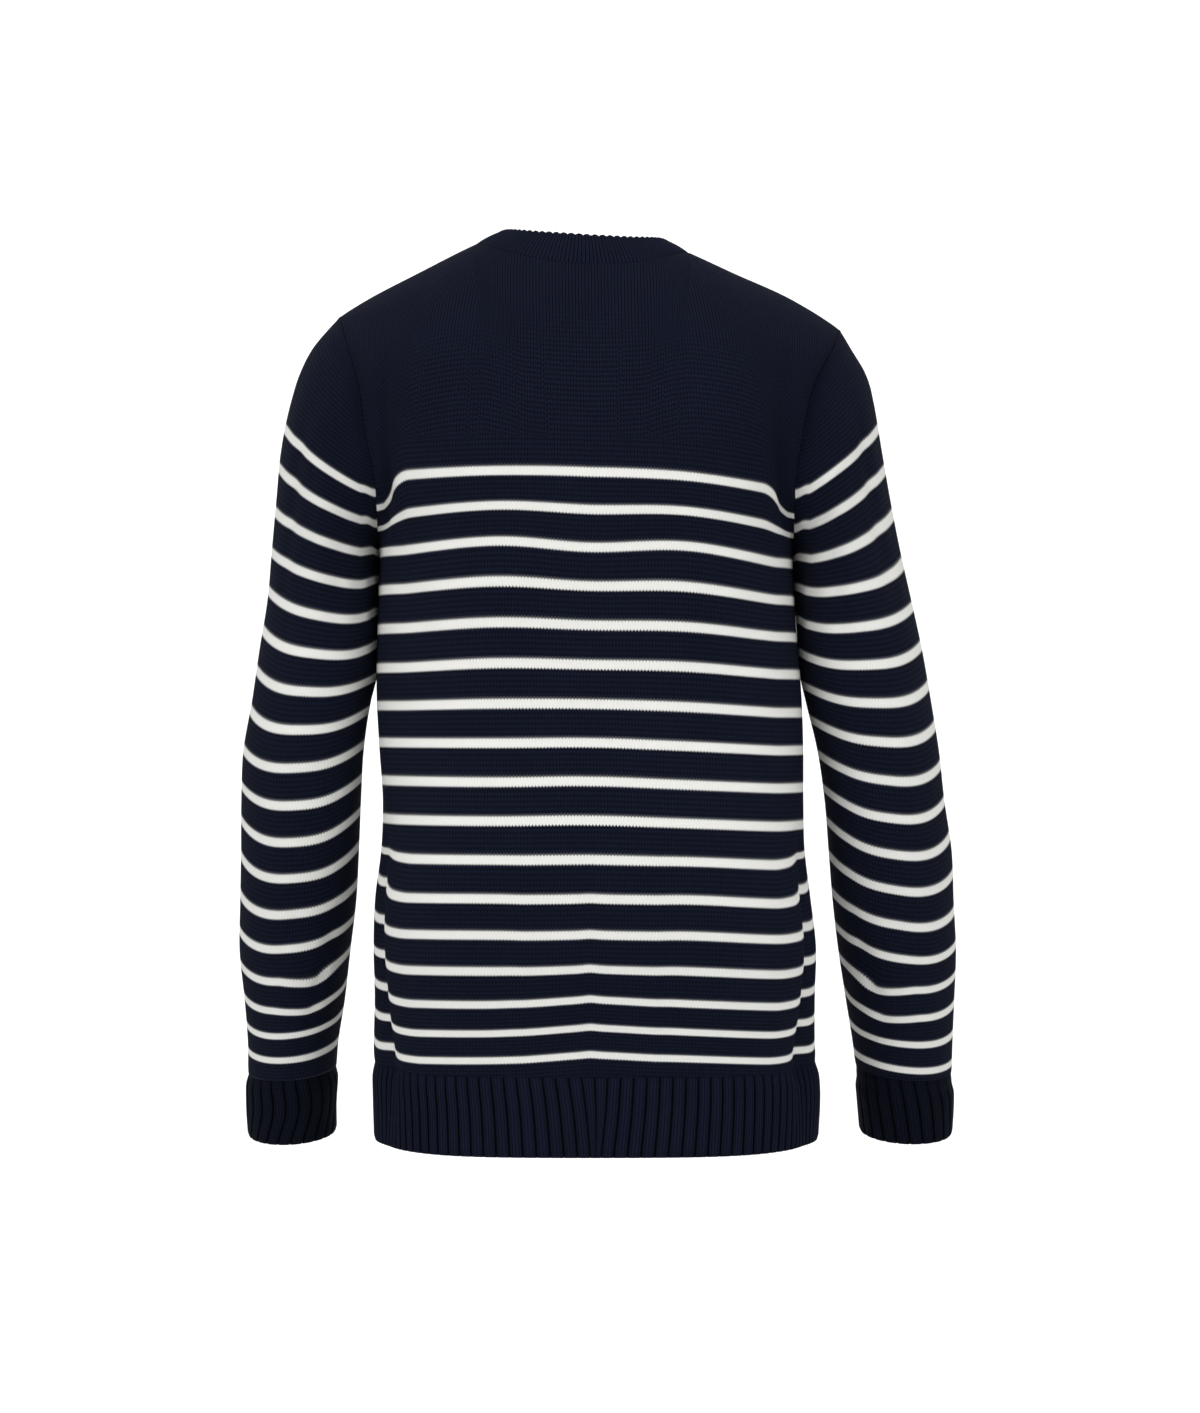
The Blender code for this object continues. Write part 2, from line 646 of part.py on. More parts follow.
def sleeve(side):
    """One sleeve: a tube from the armhole seam to the cuff seam."""
    turn = np.linspace(0, 2 * pi, 2 * ARMHOLE_ROWS + 1)[:-1]
    along = np.linspace(0, 1 - SEAM / 2 / SLEEVE_DROP, SLEEVE_ROWS + 1)
    skin = np.stack([sleeve_ring(side, a, turn) for a in along])
    out = -side * ring_normals(skin)
    toward_body = -side * np.abs(out[0, :, 0])
    out[0, :, 0] = np.where(side * out[0, :, 0] > 0, 0, toward_body)
    out[0] /= np.linalg.norm(out[0], axis=1, keepdims=True)
    inner = skin - CLOTH * out
    if side > 0:                                            # rows run up, seen from outside
        skin, inner = skin[::-1], inner[::-1]
    return wall_object("sleeve_" + SIDE_NAME[side], skin, inner, NAVY, ring=True)


def cuff(side):
    """One cuff: its ribs lean a little one way and back, as the photo shows."""
    groove = np.linspace(0, 2 * pi, CUFF_RIBS + 1)
    outer, inner = [], []
    for down, lean in zip((0, 0.5, 1), CUFF_LEAN[side]):
        along = 1 + SEAM / 2 / SLEEVE_DROP + (CUFF_END - 1) * down
        turn = rib_points(groove)[:-1] + lean
        outer.append(sleeve_ring(side, along, turn))
        inner.append(sleeve_ring(side, along, turn[::3]))
    walls = []
    rise = rib_rise(CUFF_RIBS, HEM_RISE)[:-1] - (CLOTH - RIB_BASE)
    for skin, stand in ((np.stack(outer), rise), (np.stack(inner), np.full(CUFF_RIBS, -CLOTH))):
        skin = skin - side * ring_normals(skin) * stand[None, :, None]
        walls.append(skin[::-1] if side > 0 else skin)
    return wall_object("cuff_" + SIDE_NAME[side], *walls, NAVY_RIB, ring=True)


# ---------------------------------------------------------------- neckband


def neckband():
    """The neckband, round from the right shoulder by the front, on the panels' own neck seam."""
    front, front_out = body_walls(-1)
    back, back_out = body_walls(1)
    columns = neck_columns()
    seam = np.concatenate([front[-1, columns][:-1], back[-1, columns][:0:-1]])
    out = np.concatenate([front_out[-1, columns][:-1], back_out[-1, columns][:0:-1]])
    seam[[0, NECK_COLUMNS], 1] = 0
    turn = neck_turns()
    edge = []
    for face, order in ((-1, turn[:-1]), (1, turn[:0:-1])):
        x, z = neck_line(NECK_EDGE, order, face)
        edge.append(np.stack([x, np.full(x.shape, NECK_EDGE_DEPTH[FACE_NAME[face]]), z], axis=-1))
    edge = np.concatenate(edge)
    edge[:, 1] *= seam[:, 1]
    to_edge = edge - seam
    base = seam + to_edge * NECK_SEAM_GAP / np.linalg.norm(to_edge, axis=1, keepdims=True)
    rows = []
    for up in (0, 0.5, 1):
        bow = NECK_BOW * 4 * up * (1 - up)
        rows.append(base + (edge - base) * up + out * bow)
    skin = np.stack(rows)
    around = normals(np.concatenate([skin[:, -1:], skin, skin[:, :1]], axis=1))[:, 1:-1]
    around[0] = out
    inner = skin - RIB_BASE * around
    fine = 2 * NECK_RIBS // (2 * NECK_COLUMNS)
    outer = refine(skin, fine) + refine(around, fine) * np.tile([0, NECK_RISE], NECK_RIBS)[None, :, None]
    return wall_object("neckband", outer, inner, NAVY_RIB, ring=True)


def refine(grid, fine):
    """A ring grid with each step between two columns cut into equal parts."""
    following = np.roll(grid, -1, axis=1)
    parts = [grid + (following - grid) * k / fine for k in range(fine)]
    return np.stack(parts, axis=2).reshape(grid.shape[0], -1, 3)


for facing in (1, -1):
    body_panel(facing)
    hem_band(facing)
for hand in (1, -1):
    sleeve(hand)
    cuff(hand)
neckband()
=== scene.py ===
# %% [markdown]
# # A striped crew-neck jumper, filled out as if worn
# The jumper is a fine stocking-stitch knit in navy with thin pale stripes, with ribbed bands at the
# hem, cuffs and neck. It hangs in the air in the shape that a wearer gives it. This lesson makes
# each knitted piece as a thin wall of cloth with its own soft folds, lays a map of stitches over
# it, and lets one stitch material draw the yarn from that map.

# %% Load the solid model
# The solids fix where every piece is. Each one is replaced below by a finer piece of the same form.
from math import pi, radians, tan

import bpy
import numpy as np
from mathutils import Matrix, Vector


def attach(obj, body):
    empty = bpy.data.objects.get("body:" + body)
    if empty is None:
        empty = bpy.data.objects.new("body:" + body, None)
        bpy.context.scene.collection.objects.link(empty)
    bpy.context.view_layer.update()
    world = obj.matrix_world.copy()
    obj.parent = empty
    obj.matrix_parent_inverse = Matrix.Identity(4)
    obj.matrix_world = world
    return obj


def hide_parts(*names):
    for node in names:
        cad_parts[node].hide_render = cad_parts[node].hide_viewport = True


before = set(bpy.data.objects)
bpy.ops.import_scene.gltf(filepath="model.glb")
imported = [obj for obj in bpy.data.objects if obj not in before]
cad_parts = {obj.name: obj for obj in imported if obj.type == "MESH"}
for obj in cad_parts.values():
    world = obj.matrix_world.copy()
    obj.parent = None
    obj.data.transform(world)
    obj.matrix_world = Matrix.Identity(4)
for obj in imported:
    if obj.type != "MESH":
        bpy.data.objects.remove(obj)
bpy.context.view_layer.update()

# %% [markdown]
# ## Sizes
# A knitter works from a few measurements: the length to the underarm, the chest, the shoulders.
# The same ones are named here, in metres, with +Z up, the front facing -Y and the wearer's left
# along +X. Everything else is worked out from them.

# %% Driving sizes
CLOTH = 0.0022          # thickness of the plain knit
RIB_BASE = 0.0020       # thickness of a rib band at the bottom of its grooves
HEM_RISE = 0.0017       # how far a hem or cuff rib stands over its grooves
NECK_RISE = 0.0003      # the same on the fine neckband ribs
SEAM = 0.0003           # gap between two pieces where they are sewn

UNDERARM_Z = -0.245
RIB_TOP_Z = -0.642      # seam between the panels and the hem rib, at the back
HEM_Z = -0.702
SHOULDER_Z = {1: -0.061, -1: -0.0725}    # left (+1) and right (-1) shoulder points
SHOULDER_X = 0.1945

NECK_MIDDLE_X = 0.0065
NECK_SEAM = {"half_width": 0.083, "right": -0.0122, "left": -0.0053,
             "back": 0.0175, "front": 0.078, "round": 2.5}
NECK_EDGE = {"half_width": 0.061, "right": -0.0015, "left": 0.0050,
             "back": 0.0050, "front": 0.068, "round": 3.5}
NECK_EDGE_DEPTH = {"back": 0.80, "front": 0.83}

BAND_HEIGHT = {"hem": 0.060, "cuff": 0.055, "neck": 0.024}
HEM_RIBS = 64           # to each half of the hem
HEM_CLOSING = 0.52      # how much closer the ribs stand at the sides of the hem
HEM_CLOSES = (0.15, 0.75)
HEM_GATHER = 0.0075     # how far the ribs gather at the middle of the back, at the free edge
HEM_GATHER_REACH = 0.125
HEM_HALF_LENGTH = 0.46
CUFF_RIBS = 22
CUFF_LEAN = {1: (0, 0.10, -0.12), -1: (0, -0.08, -0.16)}
CUFF_END = 1.085        # as a share of the sleeve's length
NECK_BOW = 0.0010
SIDE_LIFT = 0.006
LIFT_FROM_Z = -0.400
LIFT_EDGE = 6           # the higher, the closer to the side seam the lift stays
ARMHOLE_CORNER = 1.2    # how much squarer the body gets above the underarm
CORNER_REACH = 0.080
ARMHOLE_DEPTH = {1: 0.071, -1: 0.064}
ARMHOLE_FILLS = 0.45
ARMHOLE_EDGE = 4
SHOULDER_ROLL = 0.085   # drop over which the cloth rolls over the shoulder points
NECK_ROLL = {1: 0.250, -1: 0.262}       # and beside the neck, behind and before
ROLL_SPREAD = 1.6
CORNER_SHARE = 0.31     # share of a ring from a side seam to below the neck's corner
COLUMNS_CLOSE = 0.6     # how much the columns close up on the way there, and where
COLUMNS_CLOSE_AT = 0.4
MIDDLE_LEAD = 0.3       # the rows in the middle of a panel rise ahead of those at its shoulders
SHOULDER_FROM = (0.225, 0.675)
EDGE_ROWS = 3           # the higher, the closer to the armhole the rows keep its own spacing

WALE = 0.0025           # width of one column of stitches
COURSE = 0.00194        # height of one row of stitches
REPEAT = 15             # rows of stitches from one stripe to the next
STRIPE_ROWS = 3.7       # rows of stitches in a stripe

FACE_NAME = {1: "back", -1: "front"}
SIDE_NAME = {1: "left", -1: "right"}
print("gauge:", round(0.1 / WALE), "stitches and", round(0.1 / COURSE), "rows to 10 cm")

# %% [markdown]
# ## Tables of sizes
# The outline is a short table for each edge. A smooth curve is read through its rows, so a few
# rows give a soft garment edge. Reading a table beats drawing splines here, because the folds and
# the stripes can use the same curves.

# %% Reading a table


def table(columns, *rows):
    """A table of sizes: a dict with one array for each named column, by its first column."""
    return dict(zip(columns.split(), np.array(sorted(rows), float).T))


def curve(x, y, at):
    """The smooth curve through y at x, read at any place; y may have more axes than x."""
    slope = np.gradient(y, x, axis=0)
    at = np.clip(np.asarray(at, float), x[0], x[-1])
    i = np.clip(np.searchsorted(x, at) - 1, 0, len(x) - 2)
    h = x[i + 1] - x[i]
    t = (at - x[i]) / h

    def pick(values, index):
        return values[index] if values.ndim == 1 else values[(index,) + tuple(np.indices(index.shape))]

    rise = pick(y, i + 1) - pick(y, i)
    return (pick(y, i) + t * t * (3 - 2 * t) * rise
            + t * (1 - t) ** 2 * h * pick(slope, i) - t * t * (1 - t) * h * pick(slope, i + 1))


def read(sizes, column, at):
    """A column of a table at any value of its first column."""
    return curve(next(iter(sizes.values())), sizes[column], at)


def smooth(at):
    """0 below 0, 1 above 1 and a soft step between."""
    at = np.clip(at, 0, 1)
    return at * at * (3 - 2 * at)


def between(at, low, high):
    """0 below the low value, 1 above the high one and an even slope between."""
    return np.clip((at - low) / (high - low), 0, 1)


def running_sum(steps, axis=0):
    """What the steps along an axis add up to, from 0 on."""
    start = np.zeros_like(np.take(steps, [0], axis=axis))
    return np.concatenate([start, np.cumsum(steps, axis=axis)], axis=axis)


# %% Outline of the body
WIDTH = table(
    "z       left    right",
    (-0.702, 0.1670, 0.1735),
    (-0.668, 0.1680, 0.1750),
    (-0.629, 0.1685, 0.1722),
    (-0.590, 0.1676, 0.1720),
    (-0.552, 0.1684, 0.1728),
    (-0.513, 0.1672, 0.1685),
    (-0.474, 0.1625, 0.1640),
    (-0.436, 0.1614, 0.1632),
    (-0.397, 0.1640, 0.1632),
    (-0.358, 0.1662, 0.1620),
    (-0.300, 0.1656, 0.1575),
    (-0.245, 0.1640, 0.1548),
    (-0.215, 0.1636, 0.1540),
    (-0.188, 0.1650, 0.1548),
    (-0.160, 0.1705, 0.1590),
    (-0.118, 0.1770, 0.1690),
    (-0.085, 0.1870, 0.1860),
    (-0.061, 0.1945, 0.1945),
)
DEPTH = table(
    "z       back    front   back_corner front_corner",
    (-0.702, 0.0930, 0.0950, 2.7,        2.5),
    (-0.660, 0.0930, 0.0960, 2.8,        2.5),
    (-0.620, 0.0975, 0.0995, 3.0,        2.5),
    (-0.580, 0.1070, 0.1035, 3.1,        2.5),
    (-0.540, 0.1145, 0.1060, 3.1,        2.5),
    (-0.500, 0.1165, 0.1060, 3.0,        2.5),
    (-0.440, 0.1130, 0.1050, 2.9,        2.5),
    (-0.380, 0.1080, 0.1055, 2.8,        2.5),
    (-0.320, 0.1075, 0.1085, 2.8,        2.5),
    (-0.250, 0.1110, 0.1145, 2.8,        2.6),
    (-0.180, 0.1140, 0.1180, 2.8,        2.6),
    (-0.100, 0.1130, 0.1140, 2.8,        2.6),
    (0.0200, 0.1110, 0.1110, 2.8,        2.6),
)
RIDGE = table(
    "x        z",
    (-0.1945, -0.0725),
    (-0.1750, -0.0600),
    (-0.1540, -0.0480),
    (-0.1100, -0.0280),
    (-0.0760, -0.0120),
    (-0.0500, -0.0005),
    (0.0065,  0.0150),
    (0.0640,  0.0060),
    (0.0900, -0.0055),
    (0.1356, -0.0286),
    (0.1728, -0.0480),
    (0.1945, -0.0610),
)
print("body outline:", len(WIDTH["z"]), "heights,", len(RIDGE["x"]), "places along the shoulders")

# %% Outline of the sleeves
SLEEVE_OUTER = {
    1: table(
        "z       x",
        (-0.7050, 0.2700), (-0.6730, 0.2715), (-0.6530, 0.2711), (-0.6330, 0.2705),
        (-0.5930, 0.2724), (-0.5540, 0.2756), (-0.5140, 0.2744), (-0.4750, 0.2730),
        (-0.4360, 0.2722), (-0.3970, 0.2702), (-0.3580, 0.2631), (-0.3190, 0.2572),
        (-0.2800, 0.2508), (-0.2420, 0.2474), (-0.2030, 0.2438), (-0.1640, 0.2400),
        (-0.1250, 0.2318), (-0.1060, 0.2258), (-0.0870, 0.2165), (-0.0610, 0.1948),
    ),
    -1: table(
        "z       x",
        (-0.7050, 0.2825), (-0.6730, 0.2838), (-0.6530, 0.2832), (-0.6330, 0.2832),
        (-0.5930, 0.2840), (-0.5540, 0.2846), (-0.5140, 0.2820), (-0.4750, 0.2797),
        (-0.4360, 0.2735), (-0.3970, 0.2688), (-0.3580, 0.2623), (-0.3190, 0.2553),
        (-0.2800, 0.2467), (-0.2420, 0.2381), (-0.2030, 0.2303), (-0.1640, 0.2233),
        (-0.1250, 0.2163), (-0.1060, 0.2116), (-0.0870, 0.2020), (-0.0725, 0.1948),
    ),
}
SLEEVE_INNER = {
    1: table(
        "z       x",
        (-0.7050, 0.2030), (-0.6730, 0.2028), (-0.6530, 0.2012), (-0.6330, 0.2002),
        (-0.5930, 0.1939), (-0.5540, 0.1890), (-0.5140, 0.1838), (-0.4750, 0.1812),
        (-0.4360, 0.1792), (-0.3970, 0.1768), (-0.3580, 0.1708), (-0.3400, 0.1664),
        (-0.3190, 0.1658), (-0.2800, 0.1651), (-0.2420, 0.1642), (-0.2030, 0.1640),
    ),
    -1: table(
        "z       x",
        (-0.7050, 0.2130), (-0.6730, 0.2100), (-0.6530, 0.2080), (-0.6330, 0.2056),
        (-0.5930, 0.1990), (-0.5540, 0.1926), (-0.5140, 0.1875), (-0.4750, 0.1839),
        (-0.4360, 0.1804), (-0.3970, 0.1745), (-0.3580, 0.1650), (-0.3400, 0.1609),
        (-0.3190, 0.1592), (-0.2800, 0.1566), (-0.2420, 0.1549), (-0.2030, 0.1544),
    ),
}
SLEEVE_DEPTH = table(
    "along  middle  half_depth lean",
    (0.00,  0.0020, 0.066,      0.0),
    (0.12,  0.0030, 0.066,      0.0),
    (0.30,  0.0020, 0.061,      0.0),
    (0.50, -0.0020, 0.056,      2.0),
    (0.65, -0.0110, 0.053,      5.0),
    (0.80, -0.0280, 0.048,      9.0),
    (0.92, -0.0430, 0.042,     11.0),
    (1.00, -0.0520, 0.037,     11.0),
    (1.10, -0.0620, 0.035,     11.0),
)
SLEEVE_END = {"outer": -0.650, "inner": -0.645}
SLEEVE_DROP = SHOULDER_Z[1] - SLEEVE_END["outer"]
INNER_LAG = 1.5
SLEEVE_BLEND = 0.30
SLEEVE_CLEAR = 0.08
print("sleeve length", round(SLEEVE_DROP, 3), "m to the cuff")

# %% [markdown]
# ## The body's form
# Seen from above, a filled-out body is a rounded box, so each height is a superellipse: the
# corner exponent says how square it is. Above the underarm the cloth rolls over the shoulders on
# a quarter ellipse, which a formula gives more evenly than sculpting would.

# %% Body form
CREASE = table(
    "z       depth   at",
    (-0.702, 0.0020, 0.050),
    (-0.660, 0.0060, 0.055),
    (-0.630, 0.0090, 0.054),
    (-0.600, 0.0100, 0.050),
    (-0.560, 0.0095, 0.050),
    (-0.520, 0.0070, 0.050),
    (-0.480, 0.0030, 0.050),
    (-0.440, 0.0000, 0.050),
)
CREASE_WIDTH = 0.012
RING_SAMPLES = 1441


def by_side(x, left, right):
    """One value on the left of the middle and another elsewhere."""
    return np.where(np.asarray(x) > 0, left, right)


def side_of(x):
    """+1 on the left and in the middle, -1 on the right."""
    return np.sign(x) + (x == 0)


def half_width(x_side, z):
    """How far the side seam lies from the middle, on the left (+1) or the right (-1)."""
    z = np.minimum(z, by_side(x_side, SHOULDER_Z[1], SHOULDER_Z[-1]))
    return by_side(x_side, read(WIDTH, "left", z), read(WIDTH, "right", z))


def side_share(x, z):
    """0 in the middle of the body and 1 at its side seams."""
    return np.clip(np.abs(x) / half_width(side_of(x), z), 0, 1)


def quarter_round(at):
    """A quarter of a circle: 0 at 0, rising steeply, and level from 1 on."""
    return np.sqrt(1 - (1 - np.minimum(at, 1)) ** 2)


def shoulder_round(x, z, face):
    """0 on the shoulder line and 1 far below it."""
    drop = np.maximum(read(RIDGE, "z", x) - z, 0.0)
    to_neck = np.clip(1 - np.abs(x) / SHOULDER_X, 0, 1) ** ROLL_SPREAD
    return quarter_round(drop / (SHOULDER_ROLL + (NECK_ROLL[face] - SHOULDER_ROLL) * to_neck))


def armhole_depth(x_side, z, face):
    """How far the armhole seam lies behind or before the side seams."""
    up = between(z, UNDERARM_Z, by_side(x_side, SHOULDER_Z[1], SHOULDER_Z[-1]))
    return ARMHOLE_DEPTH[face] * quarter_round(up / ARMHOLE_FILLS)


def body_depth(x, z, face):
    """Distance of the cloth behind or before the side seams at a place seen from behind."""
    side = side_share(x, z)
    name = FACE_NAME[face]
    squarer = ARMHOLE_CORNER * smooth((z - UNDERARM_Z) / CORNER_REACH)
    corner = read(DEPTH, name + "_corner", z) + squarer
    across = read(DEPTH, name, z) * (1 - side ** corner) ** (1 / corner)
    edge = armhole_depth(side_of(x), z, face) * side ** ARMHOLE_EDGE
    return np.cbrt(across ** 3 + edge ** 3) * shoulder_round(x, z, face)


def side_lift(x, z):
    """The sides of the lower body hang a little higher than its back and front."""
    down = np.clip((LIFT_FROM_Z - z) / (LIFT_FROM_Z - RIB_TOP_Z), 0, 1)
    return SIDE_LIFT * down * side_share(x, z) ** LIFT_EDGE


def body_ring(z, share, face):
    """Points of the back or the front at one height, at shares of its length from right to left."""
    turn = np.linspace(-pi / 2, pi / 2, RING_SAMPLES)
    name = FACE_NAME[face]
    corner = float(read(DEPTH, name + "_corner", z))
    sine, cosine = np.sin(turn), np.maximum(np.cos(turn), 0)
    x_side = np.where(sine < 0, -1, 1)
    x = half_width(x_side, np.full(turn.shape, z)) * x_side * np.abs(sine) ** (2 / corner)
    y = float(read(DEPTH, name, z)) * cosine ** (2 / corner)
    length = running_sum(np.hypot(np.diff(x), np.diff(y)))
    if face > 0:
        depth, middle = float(read(CREASE, "depth", z)), float(read(CREASE, "at", z))
        from_seam = np.minimum(length, length[-1] - length)
        trough = depth * np.exp(-((from_seam - middle) / CREASE_WIDTH) ** 2)
        dx, dy = np.gradient(x), np.gradient(y)
        size = np.hypot(dx, dy) + 1e-12
        x, y = x + trough * dy / size, y - trough * dx / size
    at = np.asarray(share) * length[-1]
    x = np.interp(at, length, x)
    return np.stack([x, face * np.interp(at, length, y), z + side_lift(x, z)], axis=-1)


print("chest ring at the underarm:", body_ring(UNDERARM_Z, [0, 0.5, 1], 1).round(3).tolist())

# %% [markdown]
# ## A grid for each panel
# A panel is a grid: rows of stitches run up it, and columns run across. Below the underarm the
# rows are level rings. Above it they bend until the last one is the shoulder and neck seam. Grid
# points every 3 mm are close enough for soft folds, and the stitches come from the material.

# %% Panel grids
SHOULDER_COLUMNS = 45
NECK_COLUMNS = 80
BODY_ROWS = 132
ARMHOLE_ROWS = 66


def column_shares():
    """Where each column starts on the rings below the underarm, from 0 (right) to 1 (left)."""
    to_corner = np.linspace(0, 1, SHOULDER_COLUMNS + 1)
    wave = np.sin(2 * pi * (to_corner - COLUMNS_CLOSE_AT)) + np.sin(2 * pi * COLUMNS_CLOSE_AT)
    corner = CORNER_SHARE * (to_corner - COLUMNS_CLOSE * wave / (2 * pi))
    middle = np.linspace(CORNER_SHARE, 1 - CORNER_SHARE, NECK_COLUMNS + 1)[1:-1]
    return np.concatenate([corner, middle, 1 - corner[::-1]])


def neck_turns():
    """The neckline's places as turns from its right end to its left end."""
    return np.linspace(-pi / 2, pi / 2, NECK_COLUMNS + 1)


def neck_line(sizes, turn, face):
    """The neckline seen from behind: x and z at a turn from -90 degrees (right) to +90 (left)."""
    share = np.sin(turn)
    side = sizes["right"] + (sizes["left"] - sizes["right"]) * (1 + share) / 2
    drop = sizes[FACE_NAME[face]] * (1 - np.abs(share) ** sizes["round"])
    return NECK_MIDDLE_X + sizes["half_width"] * share, side - drop


def top_line(face):
    """Top edge of a panel from the right shoulder point, round the neck, to the left one."""
    neck_x, neck_z = neck_line(NECK_SEAM, neck_turns(), face)
    right = np.linspace(-SHOULDER_X, neck_x[0], SHOULDER_COLUMNS + 1)[:-1]
    left = np.linspace(neck_x[-1], SHOULDER_X, SHOULDER_COLUMNS + 1)[1:]
    x = np.concatenate([right, neck_x, left])
    z = np.concatenate([read(RIDGE, "z", right), neck_z, read(RIDGE, "z", left)])
    depth = np.concatenate([0 * right, body_depth(neck_x, neck_z, face), 0 * left])
    return x, depth, z


def body_skin(face):
    """Outer skin of the back (face +1) or the front (-1): rows from the rib seam to the shoulders."""
    share = column_shares()
    heights = np.linspace(RIB_TOP_Z + SEAM / 2, UNDERARM_Z, BODY_ROWS + 1)
    lower = [body_ring(z, share, face) for z in heights]
    start_x = lower[-1][:, 0]
    end_x, end_depth, end_z = top_line(face)
    across = np.linspace(-1, 1, len(share))
    x_side = np.where(across < 0, -1, 1)
    near_edge = np.abs(across) ** EDGE_ROWS
    over_shoulder = between(np.abs(across), *SHOULDER_FROM)
    from_share = start_x / half_width(x_side, np.full(x_side.shape, UNDERARM_Z))
    upper = []
    for row in range(1, ARMHOLE_ROWS + 1):
        up = row / ARMHOLE_ROWS
        in_middle = up * (1 + MIDDLE_LEAD * (1 - up))
        climb = in_middle * (1 - over_shoulder) + np.sin(up * pi / 2) * over_shoulder
        climb = (1 - near_edge) * climb + near_edge * (1 - np.cos(up * pi)) / 2
        z = UNDERARM_Z + (end_z - UNDERARM_Z) * climb
        edge_z = np.where(across < 0, z[0], z[-1])
        blend = smooth(up)
        x = half_width(x_side, edge_z) * ((1 - blend) * from_share + blend * end_x / SHOULDER_X)
        depth = end_depth if row == ARMHOLE_ROWS else body_depth(x, z, face)
        upper.append(np.stack([x, face * depth, z], axis=-1))
    return np.stack(lower + upper)


def normals(grid):
    """Unit normals of a grid of points, rows running up and columns running to the left (+X)."""
    out = np.cross(np.gradient(grid, axis=1), np.gradient(grid, axis=0))
    return out / np.maximum(np.linalg.norm(out, axis=2, keepdims=True), 1e-12)


def flatten(out, axis):
    """Normals with one part taken out, so that two pieces meet at a seam on one plane."""
    out = out.copy()
    out[..., axis] = 0
    return out / np.linalg.norm(out, axis=-1, keepdims=True)


skins = {face: body_skin(face) for face in (1, -1)}
print("panel grid:", skins[1].shape[:2])

# %% [markdown]
# ## Stripes that follow the cloth
# The stripes are a fixed number of stitch rows apart, and in the photograph they come closer
# together low down, where the cloth turns under. So each point gets a place in rows and columns
# of stitches, from a table of where the stripes lie. Shifts make them dip and rise as the folds do.

# %% Where the stripes lie on the body
STRIPE_AT = table(
    "z        stripe",
    (-0.6430, 17.80),
    (-0.6250, 17.0),
    (-0.6043, 16.0),
    (-0.5829, 15.0),
    (-0.5599, 14.0),
    (-0.5340, 13.0),
    (-0.5071, 12.0),
    (-0.4781, 11.0),
    (-0.4198, 9.0),
    (-0.3622, 7.0),
    (-0.3033, 5.0),
    (-0.2452, 3.0),
    (-0.1889, 1.0),
    (-0.1604, 0.0),
)
PLAIN_FROM_Z = -0.1604

# How much lower than in the middle a stripe of the back lies, in metres, at five places across.
STRIPE_DROP_X = np.array([-0.140, -0.070, 0.0013, 0.070, 0.143])
STRIPE_DROP = table(
    "z       right   right_mid middle left_mid left",
    (-0.640, 0.0039, 0.0005,  0.0,   0.0020,  0.0035),
    (-0.604, 0.0053, 0.0012,  0.0,   0.0022,  0.0033),
    (-0.583, 0.0045, 0.0009,  0.0,   0.0015,  0.0021),
    (-0.560, 0.0031, -0.0006, 0.0,  -0.0006, -0.0002),
    (-0.507, 0.0030, -0.0012, 0.0,  -0.0019, -0.0015),
    (-0.450, 0.0056, 0.0023,  0.0,   0.0006,  0.0005),
    (-0.391, 0.0064, 0.0026,  0.0,   0.0004,  0.0004),
    (-0.333, 0.0070, 0.0015,  0.0,  -0.0011,  0.0019),
    (-0.274, 0.0094, 0.0004,  0.0,  -0.0034,  0.0010),
    (-0.245, 0.0100, -0.0012, 0.0,  -0.0050,  0.0008),
    (-0.216, 0.0120, 0.0010,  0.0,  -0.0035,  0.0018),
    (-0.189, 0.0130, 0.0035,  0.0,  -0.0009,  0.0014),
)
# The stripes peak at the crease down the middle of the lower back.
STRIPE_PEAK = 0.0025
STRIPE_PEAK_HALF = 0.050        # how far it reaches to each side
STRIPE_PEAK_FROM_Z = -0.440
STRIPE_PEAK_GROWS = 0.08        # over this height
# Round the side creases the stripes climb by a height in metres.
SIDE_CLIMB = table(
    "z       left    right",
    (-0.645, 0.0120, 0.0100),
    (-0.620, 0.0160, 0.0125),
    (-0.590, 0.0175, 0.0135),
    (-0.560, 0.0175, 0.0135),
    (-0.530, 0.0165, 0.0135),
    (-0.500, 0.0200, 0.0180),
    (-0.485, 0.0180, 0.0170),
    (-0.470, 0.0060, 0.0060),
    (-0.458, 0.0010, 0.0010),
    (-0.440, 0.0000, 0.0000),
)
# The share of that height they have climbed at a distance from the side seam.
CLIMBED = table(
    "from_side share",
    (0.000, 1.00),
    (0.014, 0.92),
    (0.040, 0.52),
    (0.060, 0.44),
    (0.074, 0.14),
    (0.092, 0.00),
)
FRONT_REACH = 0.08              # how far round the front the stripes keep the back's shift
ARMHOLE_DIP = 0.025             # how far a stripe turns down beside the armhole
ARMHOLE_DIP_FROM = 0.830        # from this share of the half width
ARMHOLE_DIP_WIDE = 0.155
ARMHOLE_DIP_GROWS = 0.040       # over this height above the underarm


def row_length(grid):
    """Length along each row from its first column."""
    return running_sum(np.linalg.norm(np.diff(grid, axis=1), axis=2), axis=1)


def column_length(grid):
    """Length along each column from its first row."""
    return running_sum(np.linalg.norm(np.diff(grid, axis=0), axis=2))


def side_distance(grid):
    """Distance along each row of a panel from the nearer side seam."""
    length = row_length(grid)
    return np.minimum(length, length[:, -1:] - length)


def wale_places(grid):
    """Each point's place in columns of stitches, counted from the middle of its row."""
    length = row_length(grid)
    middle = grid.shape[1] // 2
    return (length - length[:, middle:middle + 1]) / WALE


